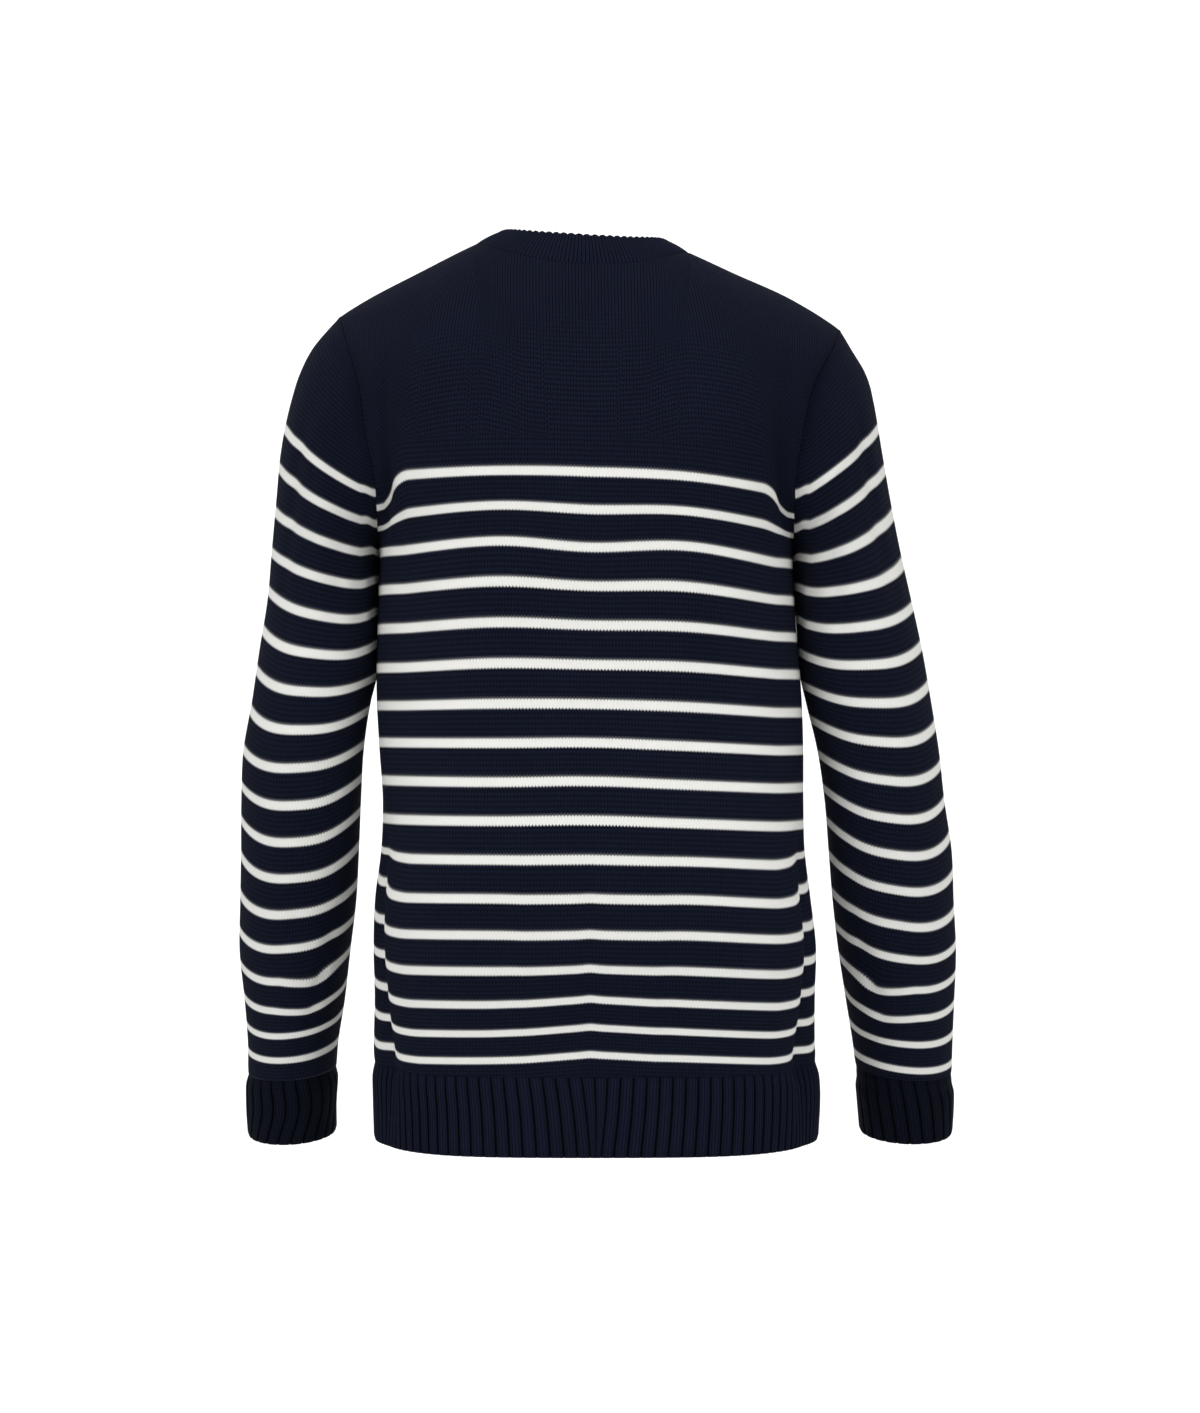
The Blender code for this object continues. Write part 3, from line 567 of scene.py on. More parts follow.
def body_stripe_shift(grid, face):
    """How far the stripes are shifted up on a panel, in metres."""
    x, z = grid[..., 0], grid[..., 2]
    from_side = side_distance(grid)
    drops = np.stack([read(STRIPE_DROP, name, z) for name in list(STRIPE_DROP)[1:]])
    climb = by_side(x, read(SIDE_CLIMB, "left", z), read(SIDE_CLIMB, "right", z))
    peak = STRIPE_PEAK * smooth((STRIPE_PEAK_FROM_Z - z) / STRIPE_PEAK_GROWS)
    if face < 0:
        side_x = by_side(x, STRIPE_DROP_X[-1], STRIPE_DROP_X[0])
        at_seam = climb - peak - curve(STRIPE_DROP_X, drops, side_x)
        return at_seam * np.exp(-(from_side / FRONT_REACH) ** 2)
    off_middle = np.clip(np.abs(x - STRIPE_DROP_X[2]) / STRIPE_PEAK_HALF, 0, 1)
    climbed = read(CLIMBED, "share", from_side)
    beside = np.clip((side_share(x, z) - ARMHOLE_DIP_FROM) / ARMHOLE_DIP_WIDE, 0, 1)
    dip = ARMHOLE_DIP * beside ** 2 * smooth((z - UNDERARM_Z) / ARMHOLE_DIP_GROWS)
    return climb * climbed - curve(STRIPE_DROP_X, drops, x) - peak * off_middle - dip


def body_stitches(grid, face):
    """Each point's place in the knit: columns of stitches from the middle, and rows going up."""
    z = grid[..., 2] - body_stripe_shift(grid, face)
    stripe = read(STRIPE_AT, "stripe", z)
    climb = np.linalg.norm(np.diff(grid, axis=0), axis=2)
    above = running_sum(climb * (z[1:] > PLAIN_FROM_Z))
    return np.stack([wale_places(grid), -REPEAT * stripe + above / COURSE], axis=-1)


stitches = {face: body_stitches(skins[face], face) for face in (1, -1)}
print("rows of stitches on the back:", round(float(np.ptp(stitches[1][..., 1]))))

# %% [markdown]
# ## Soft folds
# A worn knit shows a few long soft folds: a crease down the middle of the back, creases beside
# the armholes, and bends in the sleeves. Each is given as a line, straight or winding,
# with a width and a depth, and pushes the cloth in (or out, if negative) along its normal. A
# cloth simulation would put its folds where it likes, so it was not used.

# %% Fold helper
FOLD_TIP = 0.08         # at 0 a fold would come to nothing at its ends
FOLD_FILLS = 0.7        # the lower, the sooner it is deep


def fold_push(across, up, folds):
    """How far each fold of a table pushes the cloth in, at places given by two coordinates."""
    push = np.zeros(across.shape)
    for a0, u0, a1, u1, width, depth in zip(*folds.values()):
        along = np.array([a1 - a0, u1 - u0])
        size = float(along @ along)
        share = ((across - a0) * along[0] + (up - u0) * along[1]) / size
        inside = np.clip(share, 0, 1)
        off = np.hypot(across - a0 - inside * along[0], up - u0 - inside * along[1])
        ends = np.sin(pi * (FOLD_TIP + (1 - 2 * FOLD_TIP) * inside)) ** FOLD_FILLS
        push += depth * ends * np.exp(-(off / width) ** 2)
    return push


def fold_run(across, up, run):
    """A fold that runs up the cloth, from a table of its place, width and depth at each height."""
    place, width, depth = (read(run, name, up) for name in ("across", "width", "depth"))
    return depth * np.exp(-((across - place) / width) ** 2)


BACK_FOLDS = table(
    "a0      u0      a1      u1      width  depth",
    (0.002,  -0.170,  0.001, -0.420,  0.009, 0.0009),
    (0.0015, -0.400,  0.001, -0.650,  0.006, 0.0020),
    (0.146,  -0.250,  0.120, -0.340,  0.012, 0.0018),
    (-0.136, -0.250, -0.112, -0.340,  0.012, 0.0018),
    (0.080,  -0.200,  0.062, -0.330,  0.020, -0.0016),
    (-0.082, -0.190, -0.066, -0.340,  0.020, -0.0016),
    (0.045,  -0.230,  0.040, -0.420,  0.018, 0.0013),
    (-0.045, -0.250, -0.040, -0.440,  0.018, 0.0011),
    (0.060,  -0.500,  0.055, -0.640,  0.014, 0.0012),
    (-0.062, -0.520, -0.055, -0.640,  0.014, 0.0012),
)
# The valleys between the armhole seams and the rolled edges of the back.
ARMHOLE_VALLEYS = [
    table(
        "up      across  width   depth",
        (-0.090, 0.1550, 0.0060, 0.0000),
        (-0.115, 0.1560, 0.0055, 0.0022),
        (-0.145, 0.1565, 0.0055, 0.0034),
        (-0.175, 0.1565, 0.0060, 0.0050),
        (-0.205, 0.1575, 0.0060, 0.0062),
        (-0.225, 0.1585, 0.0050, 0.0036),
        (-0.240, 0.1590, 0.0045, 0.0000),
    ),
    table(
        "up      across  width   depth",
        (-0.090, -0.1450, 0.0060, 0.0000),
        (-0.115, -0.1440, 0.0055, 0.0022),
        (-0.145, -0.1440, 0.0060, 0.0034),
        (-0.175, -0.1450, 0.0065, 0.0055),
        (-0.205, -0.1470, 0.0060, 0.0066),
        (-0.225, -0.1490, 0.0050, 0.0040),
        (-0.240, -0.1500, 0.0045, 0.0000),
    ),
]
FRONT_FOLDS = table(
    "a0      u0      a1      u1      width  depth",
    (0.120,  -0.130,  0.060, -0.260,  0.016, 0.0022),
    (-0.118, -0.140, -0.055, -0.280,  0.016, 0.0022),
    (0.140,  -0.220,  0.110, -0.330,  0.012, 0.0020),
    (-0.136, -0.225, -0.108, -0.335,  0.012, 0.0020),
    (0.070,  -0.360,  0.085, -0.600,  0.015, 0.0018),
    (-0.074, -0.380, -0.088, -0.610,  0.015, 0.0018),
    (0.020,  -0.420,  0.028, -0.630,  0.014, 0.0012),
)
SEAM_ROLL = 0.0014      # how far the cloth dips into a seam
SEAM_ROLL_WIDTH = 0.0035
SEWN_SHARE = 0.25       # the share of it at the side and armhole seams
PIT_SHARE = 0.75        # and more where the armhole seam turns in under the shoulder
PIT_Z = -0.127
PIT_REACH = 0.020
SHOULDER_SHARE = 0.4
NECK_SHARE = {1: 0.0, -1: 0.3}  # the neck seam doesn't show behind
# How far from a side seam, the top edge or a sleeve's end the folds are in full.
SIDE_FADE = 0.012
TOP_FADE = 0.02
VALLEY_FADE = 0.007
SLEEVE_FADE = 0.02


def seam_dip(distance):
    """How far the cloth dips at a distance from a seam."""
    return SEAM_ROLL * np.exp(-(distance / SEAM_ROLL_WIDTH) ** 2)


def sewn_share(z):
    """The share of a seam dip at the height of a side or armhole seam."""
    return SEWN_SHARE + PIT_SHARE * np.exp(-((z - PIT_Z) / PIT_REACH) ** 2)


print("folds by hand:", len(BACK_FOLDS["a0"]), "on the back,", len(FRONT_FOLDS["a0"]), "on the front")

# %% [markdown]
# ## Walls of cloth
# Each piece is one closed wall: the grid up the outside, a second grid a cloth's thickness inside
# it, and the edges between. Solidify would do nearly the same, but here the stitch map has to run
# on round the edge, and the inner side of a rib stays plain.

# %% Make a wall
SHARP_ANGLE = 70        # degrees; the edges of a wall stay crisp and its folds smooth


def link(name, data):
    """A new object in the scene."""
    thing = bpy.data.objects.new(name, data)
    bpy.context.scene.collection.objects.link(thing)
    return thing


def outward(grids, side, axis):
    """The grids of a wall, turned round on the side where its faces would look in."""
    return [np.flip(grid, axis) for grid in grids] if side > 0 else grids


def wall(name, outer, inner, knit, ring=False):
    """A closed wall between two grids of the same size, with its stitch map in a UV layer."""
    rows, columns = outer.shape[:2]
    points = np.concatenate([outer, inner[::-1]]).reshape(-1, 3)
    count = 2 * rows
    r, c = np.meshgrid(np.arange(count), np.arange(columns if ring else columns - 1), indexing="ij")
    r2, c2 = (r + 1) % count, c + 1
    quads = np.stack([r * columns + c % columns, r * columns + c2 % columns,
                      r2 * columns + c2 % columns, r2 * columns + c % columns], axis=-1)
    both = np.concatenate([knit, knit[::-1]])
    corners = np.stack([both[r, c], both[r, c2], both[r2, c2], both[r2, c]], axis=2)
    quads, corners = quads.reshape(-1, 4), corners.reshape(-1, 2)
    if not ring:
        r = np.arange(rows - 1)
        for c, flip in ((0, False), (columns - 1, True)):
            out_low, out_high = r, r + 1
            in_low, in_high = count - 1 - r, count - 2 - r
            order = [out_low, out_high, in_high, in_low]
            maps = [knit[r, c], knit[r + 1, c], knit[r + 1, c], knit[r, c]]
            if flip:
                order, maps = order[::-1], maps[::-1]
            quads = np.concatenate([quads, np.stack([k * columns + c for k in order], axis=-1)])
            corners = np.concatenate([corners, np.stack(maps, axis=1).reshape(-1, 2)])
    mesh = bpy.data.meshes.new(name)
    mesh.from_pydata(points.tolist(), [], quads.tolist())
    layer = mesh.uv_layers.new(name="knit")
    layer.data.foreach_set("uv", corners.astype(np.float32).ravel())
    mesh.update()
    mesh.shade_smooth()
    mesh.set_sharp_from_angle(angle=radians(SHARP_ANGLE))
    return link(name, mesh)


def cloth_piece(piece, node, material):
    """The piece takes its material, rides on the body, stands for its solid and prints its triangle
    count.
    """
    piece.data.materials.append(material)
    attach(piece, "root")
    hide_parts(node)
    print(piece.name, "has", len(piece.data.polygons) * 2, "triangles")


# %% [markdown]
# ## Shader maths
# Stitches repeat, so they are drawn with arithmetic on the stitch map. A small class wraps a
# socket, and its operators add Math nodes, which reads like the sum it stands for.

# %% Wrapped sockets


class Value:
    """A number that varies over the surface. Sums with it add Math nodes to its tree."""

    def __init__(self, graph, socket):
        self.graph, self.socket = graph, socket

    def math(self, operation, *others):
        values = {i + 1: other for i, other in enumerate(others)}
        return self.graph.node("ShaderNodeMath", {"operation": operation}, {0: self, **values})

    def __add__(self, other):
        return self.math("ADD", other)

    def __sub__(self, other):
        return self.math("SUBTRACT", other)

    def __mul__(self, other):
        return self.math("MULTIPLY", other)

    def __truediv__(self, other):
        return self.math("DIVIDE", other)

    def __rsub__(self, other):
        return (self * -1).math("ADD", other)

    __radd__, __rmul__ = __add__, __mul__

    def fract(self):
        return self.math("FRACT")

    def distance(self):
        return self.math("ABSOLUTE")

    def above(self, edge, soft):
        """0 below the edge and 1 above it, over a soft width."""
        settings = {"interpolation_type": "SMOOTHSTEP"}
        inputs = {"Value": self, "From Min": edge - soft / 2, "From Max": edge + soft / 2}
        return self.graph.node("ShaderNodeMapRange", settings, inputs, "Result")

    def arches(self, count):
        """0 at each whole number, with a number of arches up to 1 before the next."""
        return (self * (count * pi)).math("SINE").distance()


class Graph:
    """The node tree of a material, with its shader."""

    def __init__(self, name):
        self.material = bpy.data.materials.new(name)
        self.material.use_nodes = True
        self.tree = self.material.node_tree
        self.shader = self.tree.nodes["Principled BSDF"]

    def node(self, kind, settings=None, inputs=None, output=0):
        """A node of a type, with its settings, and the values or links of its sockets."""
        node = self.tree.nodes.new(kind)
        for key, value in (settings or {}).items():
            setattr(node, key, value)
        for key, value in (inputs or {}).items():
            self.set(node.inputs[key], value)
        return Value(self, node.outputs[output])

    def set(self, socket, value):
        """Link a wrapped socket, or set a plain value."""
        if isinstance(value, Value):
            self.tree.links.new(value.socket, socket)
        else:
            socket.default_value = value

    def surface(self, inputs):
        """Values or links of the shader's own sockets."""
        for name, value in inputs.items():
            self.set(self.shader.inputs[name], value)

    def mix(self, factor, a, b):
        """A colour between two colours."""
        inputs = {0: factor, 6: a, 7: b}
        inputs = {k: (*v, 1) if isinstance(v, tuple) and len(v) == 3 else v for k, v in inputs.items()}
        return self.node("ShaderNodeMix", {"data_type": "RGBA"}, inputs, 2)

    def shade(self, colour, light):
        """A colour times a varying number."""
        return self.node("ShaderNodeVectorMath", {"operation": "SCALE"}, {0: colour, "Scale": light})


# %% [markdown]
# ## Stocking stitch
# Close up, stocking stitch is columns of small V shapes: two legs of yarn that lean apart, each
# row tucked under the next. Where the colour changes between two rows, the V shapes give the edge
# one tooth for each column. The material works out how far a point is across its column and up
# its row, and from that the height of the yarn and whether it belongs to a stripe. The colour
# carries painted shade: darker where the yarn lies low, and fine painted lines of shade along the
# rows low down and along the columns at the shoulders.

# %% Knit material
# painted shade: the navy where the yarn lies low and in shade, then where it stands up in the light
NAVY_IN_SHADE = (0.0014, 0.0020, 0.0050)
NAVY_LIT = (0.0078, 0.0105, 0.0235)
CREAM = (0.870, 0.868, 0.832)
TOOTH = 0.9             # how many rows the legs of a stitch rise
ROW_DIP = 0.6           # how much lower the yarn lies where two rows meet
STITCH_RELIEF = 0.0007
WOOL = {"Specular IOR Level": 0.03, "Sheen Weight": 0.012, "Sheen Roughness": 0.45,
        "Sheen Tint": (0.62, 0.70, 0.90, 1)}
EDGE_SOFT = 0.25        # rows over which a stripe's edge turns from one yarn to the other
STRIPE_START = 0.12     # rows from a stripe's place to where it shows
FIRST_SOFT = 0.5        # how softly the stripes begin below the plain top
LOOP_AT = 0.75          # rows from a stripe to where its yarn peeps through between the legs
LOOP_HALF = 0.5
LOOP_WIDE = 0.35        # share of a column that it fills
LOOP_SOFT = 0.3
LOOP_SHARE = 0.16
SHOULDER_ROW = 42       # rows above the stripes, half way to where the columns show most
SHOULDER_SOFT = 34
PAIR_LINES = 0.34       # contrast of the fine lines of painted shade across, low down
COLUMN_LINES = 0.60     # contrast of the columns' painted shade, at the shoulders
COLUMN_LEAST = 0.35     # share of it that is left low down
# painted shade of the cream yarn: its shade where the yarn lies low, and how much lighter it is where
# it stands up
CREAM_IN_SHADE = 0.90
CREAM_LIT_RISE = 0.16
KNIT_DYE = (0.05, 0.86, 1.14)   # size of its soft clouds in metres, its darkest and its lightest
KNIT_ROUGHNESS = 0.86


def knit_place(graph):
    """The stitch map: places in columns across and in rows going up."""
    place = graph.node("ShaderNodeUVMap", {"uv_map": "knit"})
    return [graph.node("ShaderNodeSeparateXYZ", None, {0: place}, k) for k in (0, 1)]


def stitch_parts(graph):
    """The stitch map taken apart: column place, row place, leg place and the yarn's height."""
    column, row = knit_place(graph)
    leg = (column.fract() - 0.5).distance() * 2             # 0 between the legs, 1 between columns
    leaning_row = row - leg * TOOTH
    across = column.arches(2)                               # highest on each leg
    up = leaning_row.arches(1)                              # lowest where two rows meet
    height = across.math("POWER", 0.7) * (up.math("POWER", 0.6) * ROW_DIP + (1 - ROW_DIP))
    return column, leaning_row, leg, height


def wool_shader(graph, height, colour, roughness, relief):
    """What all the knit has in common: yarn relief, a matt surface and a faint fuzz."""
    bump = graph.node("ShaderNodeBump", None, {"Strength": 0.9, "Distance": relief, "Height": height})
    graph.surface({"Base Color": colour, "Roughness": roughness, "Normal": bump, **WOOL})
    return graph.material


def mottle(graph, size, low, high):
    """A soft uneven shade, as yarn takes dye and light a little differently from place to place."""
    place = graph.node("ShaderNodeTexCoord", None, None, "Object")
    noise = graph.node("ShaderNodeTexNoise", None, {"Vector": place, "Scale": 1 / size, "Detail": 3.0})
    return noise * (high - low) + low


def knit_material():
    """Navy stocking stitch with a cream stripe at the start of each repeat."""
    graph = Graph("striped stocking stitch")
    column, row, leg, height = stitch_parts(graph)
    repeat = ((row + STRIPE_ROWS / 2) / REPEAT).fract() * REPEAT
    striped = (row * -1).above(REPEAT - STRIPE_ROWS, FIRST_SOFT)
    inside = (1 - repeat.above(STRIPE_ROWS, EDGE_SOFT)) * repeat.above(STRIPE_START, EDGE_SOFT)
    from_middle = (repeat - STRIPE_ROWS / 2).distance()
    from_loops = (from_middle - STRIPE_ROWS / 2 - LOOP_AT).distance()
    loops = (1 - from_loops.above(LOOP_HALF, LOOP_SOFT)) * (1 - leg.above(LOOP_WIDE, LOOP_SOFT))
    stripe = (inside * striped).math("MAXIMUM", loops * striped * LOOP_SHARE)
    # painted shade of the stitch relief: fine lines along the rows low down and along the columns at
    # the shoulders
    shoulder = row.above(SHOULDER_ROW, SHOULDER_SOFT)
    row_pair_shade = (row * pi).math("SINE") * PAIR_LINES
    column_shade = (column * (2 * pi)).math("COSINE") * COLUMN_LINES
    lines = row_pair_shade * (1 - shoulder) + column_shade * (shoulder * (1 - COLUMN_LEAST) + COLUMN_LEAST) + 1.0
    # painted shade: the navy is darker where the yarn lies low
    navy = graph.mix(height, NAVY_IN_SHADE, NAVY_LIT)
    navy = graph.shade(navy, lines * mottle(graph, *KNIT_DYE))
    # painted shade: the cream is darker where the yarn lies low
    cream = graph.shade(CREAM, height * CREAM_LIT_RISE + CREAM_IN_SHADE)
    colour = graph.mix(stripe, navy, cream)
    return wool_shader(graph, height, colour, KNIT_ROUGHNESS, STITCH_RELIEF)


knit = knit_material()
print("knit material:", len(knit.node_tree.nodes), "nodes")

# %% [markdown]
# ## Rib knit
# The bands are ribbed: a few columns of plain stitches stand up as a flat-topped rib, and the
# purl column between them sinks out of sight. The ribs are modelled, so the material adds only
# painted shade: the fine lines of the columns on each rib, darker where the yarn lies low, and a
# darker groove.

# %% Rib material
# painted shade: the rib navy where the yarn lies low and in shade, then where it stands up in the light
RIB_NAVY_IN_SHADE = (0.0012, 0.0017, 0.0040)
RIB_NAVY_LIT = (0.0075, 0.0098, 0.0215)
CUFF_SHADE = 0.6        # painted shade: a cuff's ribs stand closer, and the whole band is painted darker
GROOVE_SHADE = 0.22     # painted shade: how bright a groove is beside its rib
GROOVE_EDGE = 0.12      # share of a rib's width where the groove's shade ends
GROOVE_SOFT = 0.15
RIB_WALES = 4           # columns of stitches to a rib
RIB_ROW_DIP = 0.35
RIB_DYE = (0.04, 0.85, 1.15)
RIB_ROUGHNESS = 0.85
RIB_RELIEF = 0.7        # of the relief of the plain stitches


def rib_material(name, painted_shade_factor):
    """Plain dark ribs with painted shade: the fine lines of their columns, and a darker groove between
    two.
    """
    graph = Graph(name)
    column, row = knit_place(graph)
    height = column.arches(1).math("POWER", 0.6) * (row.arches(1) * RIB_ROW_DIP + (1 - RIB_ROW_DIP))
    # painted shade in the groove between two ribs
    from_groove = 0.5 - ((column / RIB_WALES).fract() - 0.5).distance()
    groove_painted_shade = from_groove.above(GROOVE_EDGE, GROOVE_SOFT) * (1 - GROOVE_SHADE) + GROOVE_SHADE
    # painted shade: the rib navy is darker where the yarn lies low
    colour = graph.mix(height, RIB_NAVY_IN_SHADE, RIB_NAVY_LIT)
    colour = graph.shade(colour, groove_painted_shade * mottle(graph, *RIB_DYE) * painted_shade_factor)
    return wool_shader(graph, height, colour, RIB_ROUGHNESS, STITCH_RELIEF * RIB_RELIEF)


rib = rib_material("ribbed hem", 1.0)
# the cuff is painted darker: painted shade of its closer ribs
cuff_rib = rib_material("ribbed cuff", CUFF_SHADE)
print("rib material:", len(rib.node_tree.nodes), "nodes")

# %% [markdown]
# ## Back and front
# The two body panels meet at the side seams and the shoulder seams. The cloth dips a little into
# each seam, which draws the thin shadow line that a sewn seam has.

# %% Body panels


def panel_wall(face):
    """Outer and inner skin of a panel."""
    skin = skins[face].copy()
    x, z = skin[..., 0], skin[..., 2]
    folds = BACK_FOLDS if face > 0 else FRONT_FOLDS
    from_side = side_distance(skin)
    from_top = column_length(skin[::-1])[::-1]
    from_rib = column_length(skin)
    out = -face * normals(skin)
    push = fold_push(x, z, folds) * smooth(from_side / SIDE_FADE) * smooth(from_top / TOP_FADE)
    if face > 0:
        valleys = sum(fold_run(x, z, run) for run in ARMHOLE_VALLEYS)
        push = push + valleys * smooth(from_side / VALLEY_FADE)
    columns = np.arange(skin.shape[1])
    over_neck = (columns > SHOULDER_COLUMNS) & (columns < SHOULDER_COLUMNS + NECK_COLUMNS)
    top_dip = seam_dip(from_top) * np.where(over_neck, NECK_SHARE[face], SHOULDER_SHARE)
    push = push + sewn_share(z) * seam_dip(from_side) + top_dip
    push = push + 2 * SEWN_SHARE * seam_dip(from_rib)
    skin = skin - out * push[..., None]
    # The armhole edges keep their width, so that the sleeves still meet them.
    skin[BODY_ROWS + 1:, [0, -1], 0] = skins[face][BODY_ROWS + 1:, [0, -1], 0]
    out = -face * normals(skin)
    sides = np.zeros(skin.shape[:2], bool)
    sides[:BODY_ROWS + 1, [0, -1]] = True
    sides[-1] = True
    sides[-1, SHOULDER_COLUMNS + 1:SHOULDER_COLUMNS + NECK_COLUMNS] = False
    out[sides] = flatten(out[sides], 1)
    skin[sides, 1] = face * SEAM / 2
    return skin, out


panels = {}
for face in (1, -1):
    skin, out = panels[face] = panel_wall(face)
    grids = outward([skin, skin - CLOTH * out, stitches[face]], face, 1)
    name = FACE_NAME[face]
    cloth_piece(wall("knit_" + name, *grids), name, knit)

# %% [markdown]
# ## Sleeves
# A set-in sleeve starts on the armhole's own curve and becomes a plain tube. Its stripes hang in
# a shallow curve round the arm, and at the top they slope up to the outside. Working out each ring
# from the outline keeps the edge of the sleeve where the photograph has it.

# %% Sleeve grids
SLEEVE_COLUMNS = 144
SLEEVE_ROWS = 190
SLEEVE_STRIPES = table(
    "left     right    stripe",
    (-0.6475, -0.6569, 18.80),
    (-0.6311, -0.6398, 18.0),
    (-0.5903, -0.5970, 16.0),
    (-0.5425, -0.5510, 14.0),
    (-0.4890, -0.4987, 12.0),
    (-0.4350, -0.4450, 10.0),
    (-0.3509, -0.3596, 7.0),
    (-0.2656, -0.2739, 4.0),
    (-0.1826, -0.1815, 1.0),
    (-0.0600, -0.0600, -3.4),
)
# How much higher a stripe lies at the outer edge of a sleeve than at the inner one.
SLEEVE_TILT = table(
    "z       left    right",
    (-0.640, -0.006, -0.008),
    (-0.600, -0.010, -0.008),
    (-0.550, -0.010, -0.015),
    (-0.500, -0.007, -0.014),
    (-0.450, -0.006, -0.012),
    (-0.400, -0.004, -0.008),
    (-0.350, 0.005, 0.000),
    (-0.300, 0.016, 0.011),
    (-0.265, 0.024, 0.020),
    (-0.240, 0.031, 0.036),
    (-0.210, 0.041, 0.048),
    (-0.185, 0.052, 0.053),
    (-0.150, 0.060, 0.056),
)
TILT_FROM = 0.14                # beside the body they run level again
TILT_RANGE = (-0.2, 1.2)        # of a sleeve's width, in which they follow the tilt
# The stripes of a sleeve hang in a curve: how much higher they lie at its edges than in its middle.
SLEEVE_SAG = table(
    "z       sag",
    (-0.640, 0.002),
    (-0.610, 0.005),
    (-0.568, 0.010),
    (-0.516, 0.012),
    (-0.460, 0.016),
    (-0.410, 0.014),
    (-0.350, 0.013),
    (-0.300, 0.011),
    (-0.270, 0.009),
    (-0.240, 0.006),
    (-0.160, 0.004),
)
# Small peaks that point down, where a stripe crosses a fold on the back of a sleeve.
SLEEVE_KINKS = {
    1: table(
        "z       x       across reach  depth",
        (-0.5770, 0.2120, 0.030, 0.012, 0.0062),
        (-0.5985, 0.2190, 0.028, 0.011, 0.0042),
    ),
    -1: table(
        "z       x       across reach  depth",
        (-0.5830, 0.2198, 0.030, 0.012, 0.0062),
        (-0.6060, 0.2260, 0.028, 0.011, 0.0040),
    ),
}
KINK_FADE = 0.02                # over this depth they fade out towards the front
FRONT_SAG = 1.5                 # at the front the stripes rise this many times as far
SLEEVE_SEAM_DIP = 0.004         # how far the stripes of a sleeve turn down into the armhole seam
SLEEVE_DIP_REACH = 0.012
LEAST_WIDTH = 0.03              # where the sleeve is narrower, the stripes tilt as if it were this wide


def armhole(side, turn):
    """The armhole seam. turn is 0 at the shoulder point, goes by the back, and pi at the underarm."""
    up = (1 + np.cos(turn)) / 2
    z = UNDERARM_Z + (SHOULDER_Z[side] - UNDERARM_Z) * up
    x = side * half_width(np.full(z.shape, side), z)
    depth = np.where(np.sin(turn) >= 0, body_depth(x, z, 1), -body_depth(x, z, -1))
    return np.stack([x, np.where((up > 1 - 1e-9) | (up < 1e-9), 0, depth), z], axis=-1)


def sleeve_ring(side, along, turn):
    """One ring of a sleeve: along is 0 at the armhole and 1 at the cuff seam."""

    def flat_ring(at):
        outer_z = SHOULDER_Z[side] + (SLEEVE_END["outer"] - SHOULDER_Z[side]) * at
        inner_z = UNDERARM_Z + (SLEEVE_END["inner"] - UNDERARM_Z) * at ** INNER_LAG
        outer_x = read(SLEEVE_OUTER[side], "x", outer_z)
        inner_x = read(SLEEVE_INNER[side], "x", inner_z)
        half = (1 + np.cos(turn)) / 2
        x = side * (inner_x + (outer_x - inner_x) * half)
        return np.stack([x, 0 * half, inner_z + (outer_z - inner_z) * half], axis=-1)

    from_seam = armhole(side, turn) - flat_ring(0.0)
    grown = smooth(along / SLEEVE_BLEND)
    clear = np.clip(along / SLEEVE_CLEAR, 0, 1)
    middle = read(SLEEVE_DEPTH, "middle", along)
    lean = tan(radians(float(read(SLEEVE_DEPTH, "lean", along))))
    to_back = read(SLEEVE_DEPTH, "half_depth", along) * np.sin(turn)
    ring = flat_ring(along)
    ring[:, 0] += (1 - clear) * from_seam[:, 0] + side * SEAM
    ring[:, 1] += (1 - grown) * from_seam[:, 1] + grown * (middle + to_back)
    ring[:, 2] += (1 - grown) * from_seam[:, 2] - grown * to_back * lean
    return ring


def ring_normals(grid):
    """Normals of a tube's grid, whose last column meets its first."""
    return normals(np.concatenate([grid[:, -1:], grid, grid[:, :1]], axis=1))[:, 1:-1]


def kink_drop(side, x, y, z):
    """How much lower a stripe lies at the sleeve's small peaks."""
    drop = np.zeros(x.shape)
    for z0, x0, across, reach, depth in zip(*SLEEVE_KINKS[side].values()):
        tent = np.clip(1 - np.abs(x - x0) / across, 0, 1)
        drop += depth * tent * np.exp(-((z - z0) / reach) ** 2)
    return drop * smooth(y / KINK_FADE + 2)


def sleeve_stitches(side, grid):
    """Places in the knit on a sleeve, on one more column than the grid has, to close the tube."""
    closed = np.concatenate([grid, grid[:, :1]], axis=1)
    x, y, z = closed[..., 0] * side, closed[..., 1], closed[..., 2]
    inner = read(SLEEVE_INNER[side], "x", z)
    outer = read(SLEEVE_OUTER[side], "x", z)
    share = np.clip((x - inner) / np.maximum(outer - inner, LEAST_WIDTH), *TILT_RANGE)
    along = (SHOULDER_Z[side] - z) / SLEEVE_DROP
    lean = np.tan(np.radians(read(SLEEVE_DEPTH, "lean", along)))
    level = z + (y - read(SLEEVE_DEPTH, "middle", along)) * lean
    tilt = read(SLEEVE_TILT, SIDE_NAME[side], z) * (np.maximum(share, TILT_FROM) - 0.5)
    level = level - tilt + kink_drop(side, x, y, z)
    level = level + SLEEVE_SEAM_DIP * (1 - smooth(column_length(closed) / SLEEVE_DIP_REACH))
    turn = np.linspace(pi, 3 * pi, closed.shape[1])
    to_edge = np.abs(np.cos(turn)) ** 3
    to_edge = np.where(np.sin(turn) < 0, FRONT_SAG - (FRONT_SAG - 1) * to_edge, to_edge)
    level = level - read(SLEEVE_SAG, "sag", z) * to_edge
    stripe = curve(SLEEVE_STRIPES[SIDE_NAME[side]], SLEEVE_STRIPES["stripe"], level)
    return np.stack([wale_places(closed) * side, -REPEAT * stripe], axis=-1)


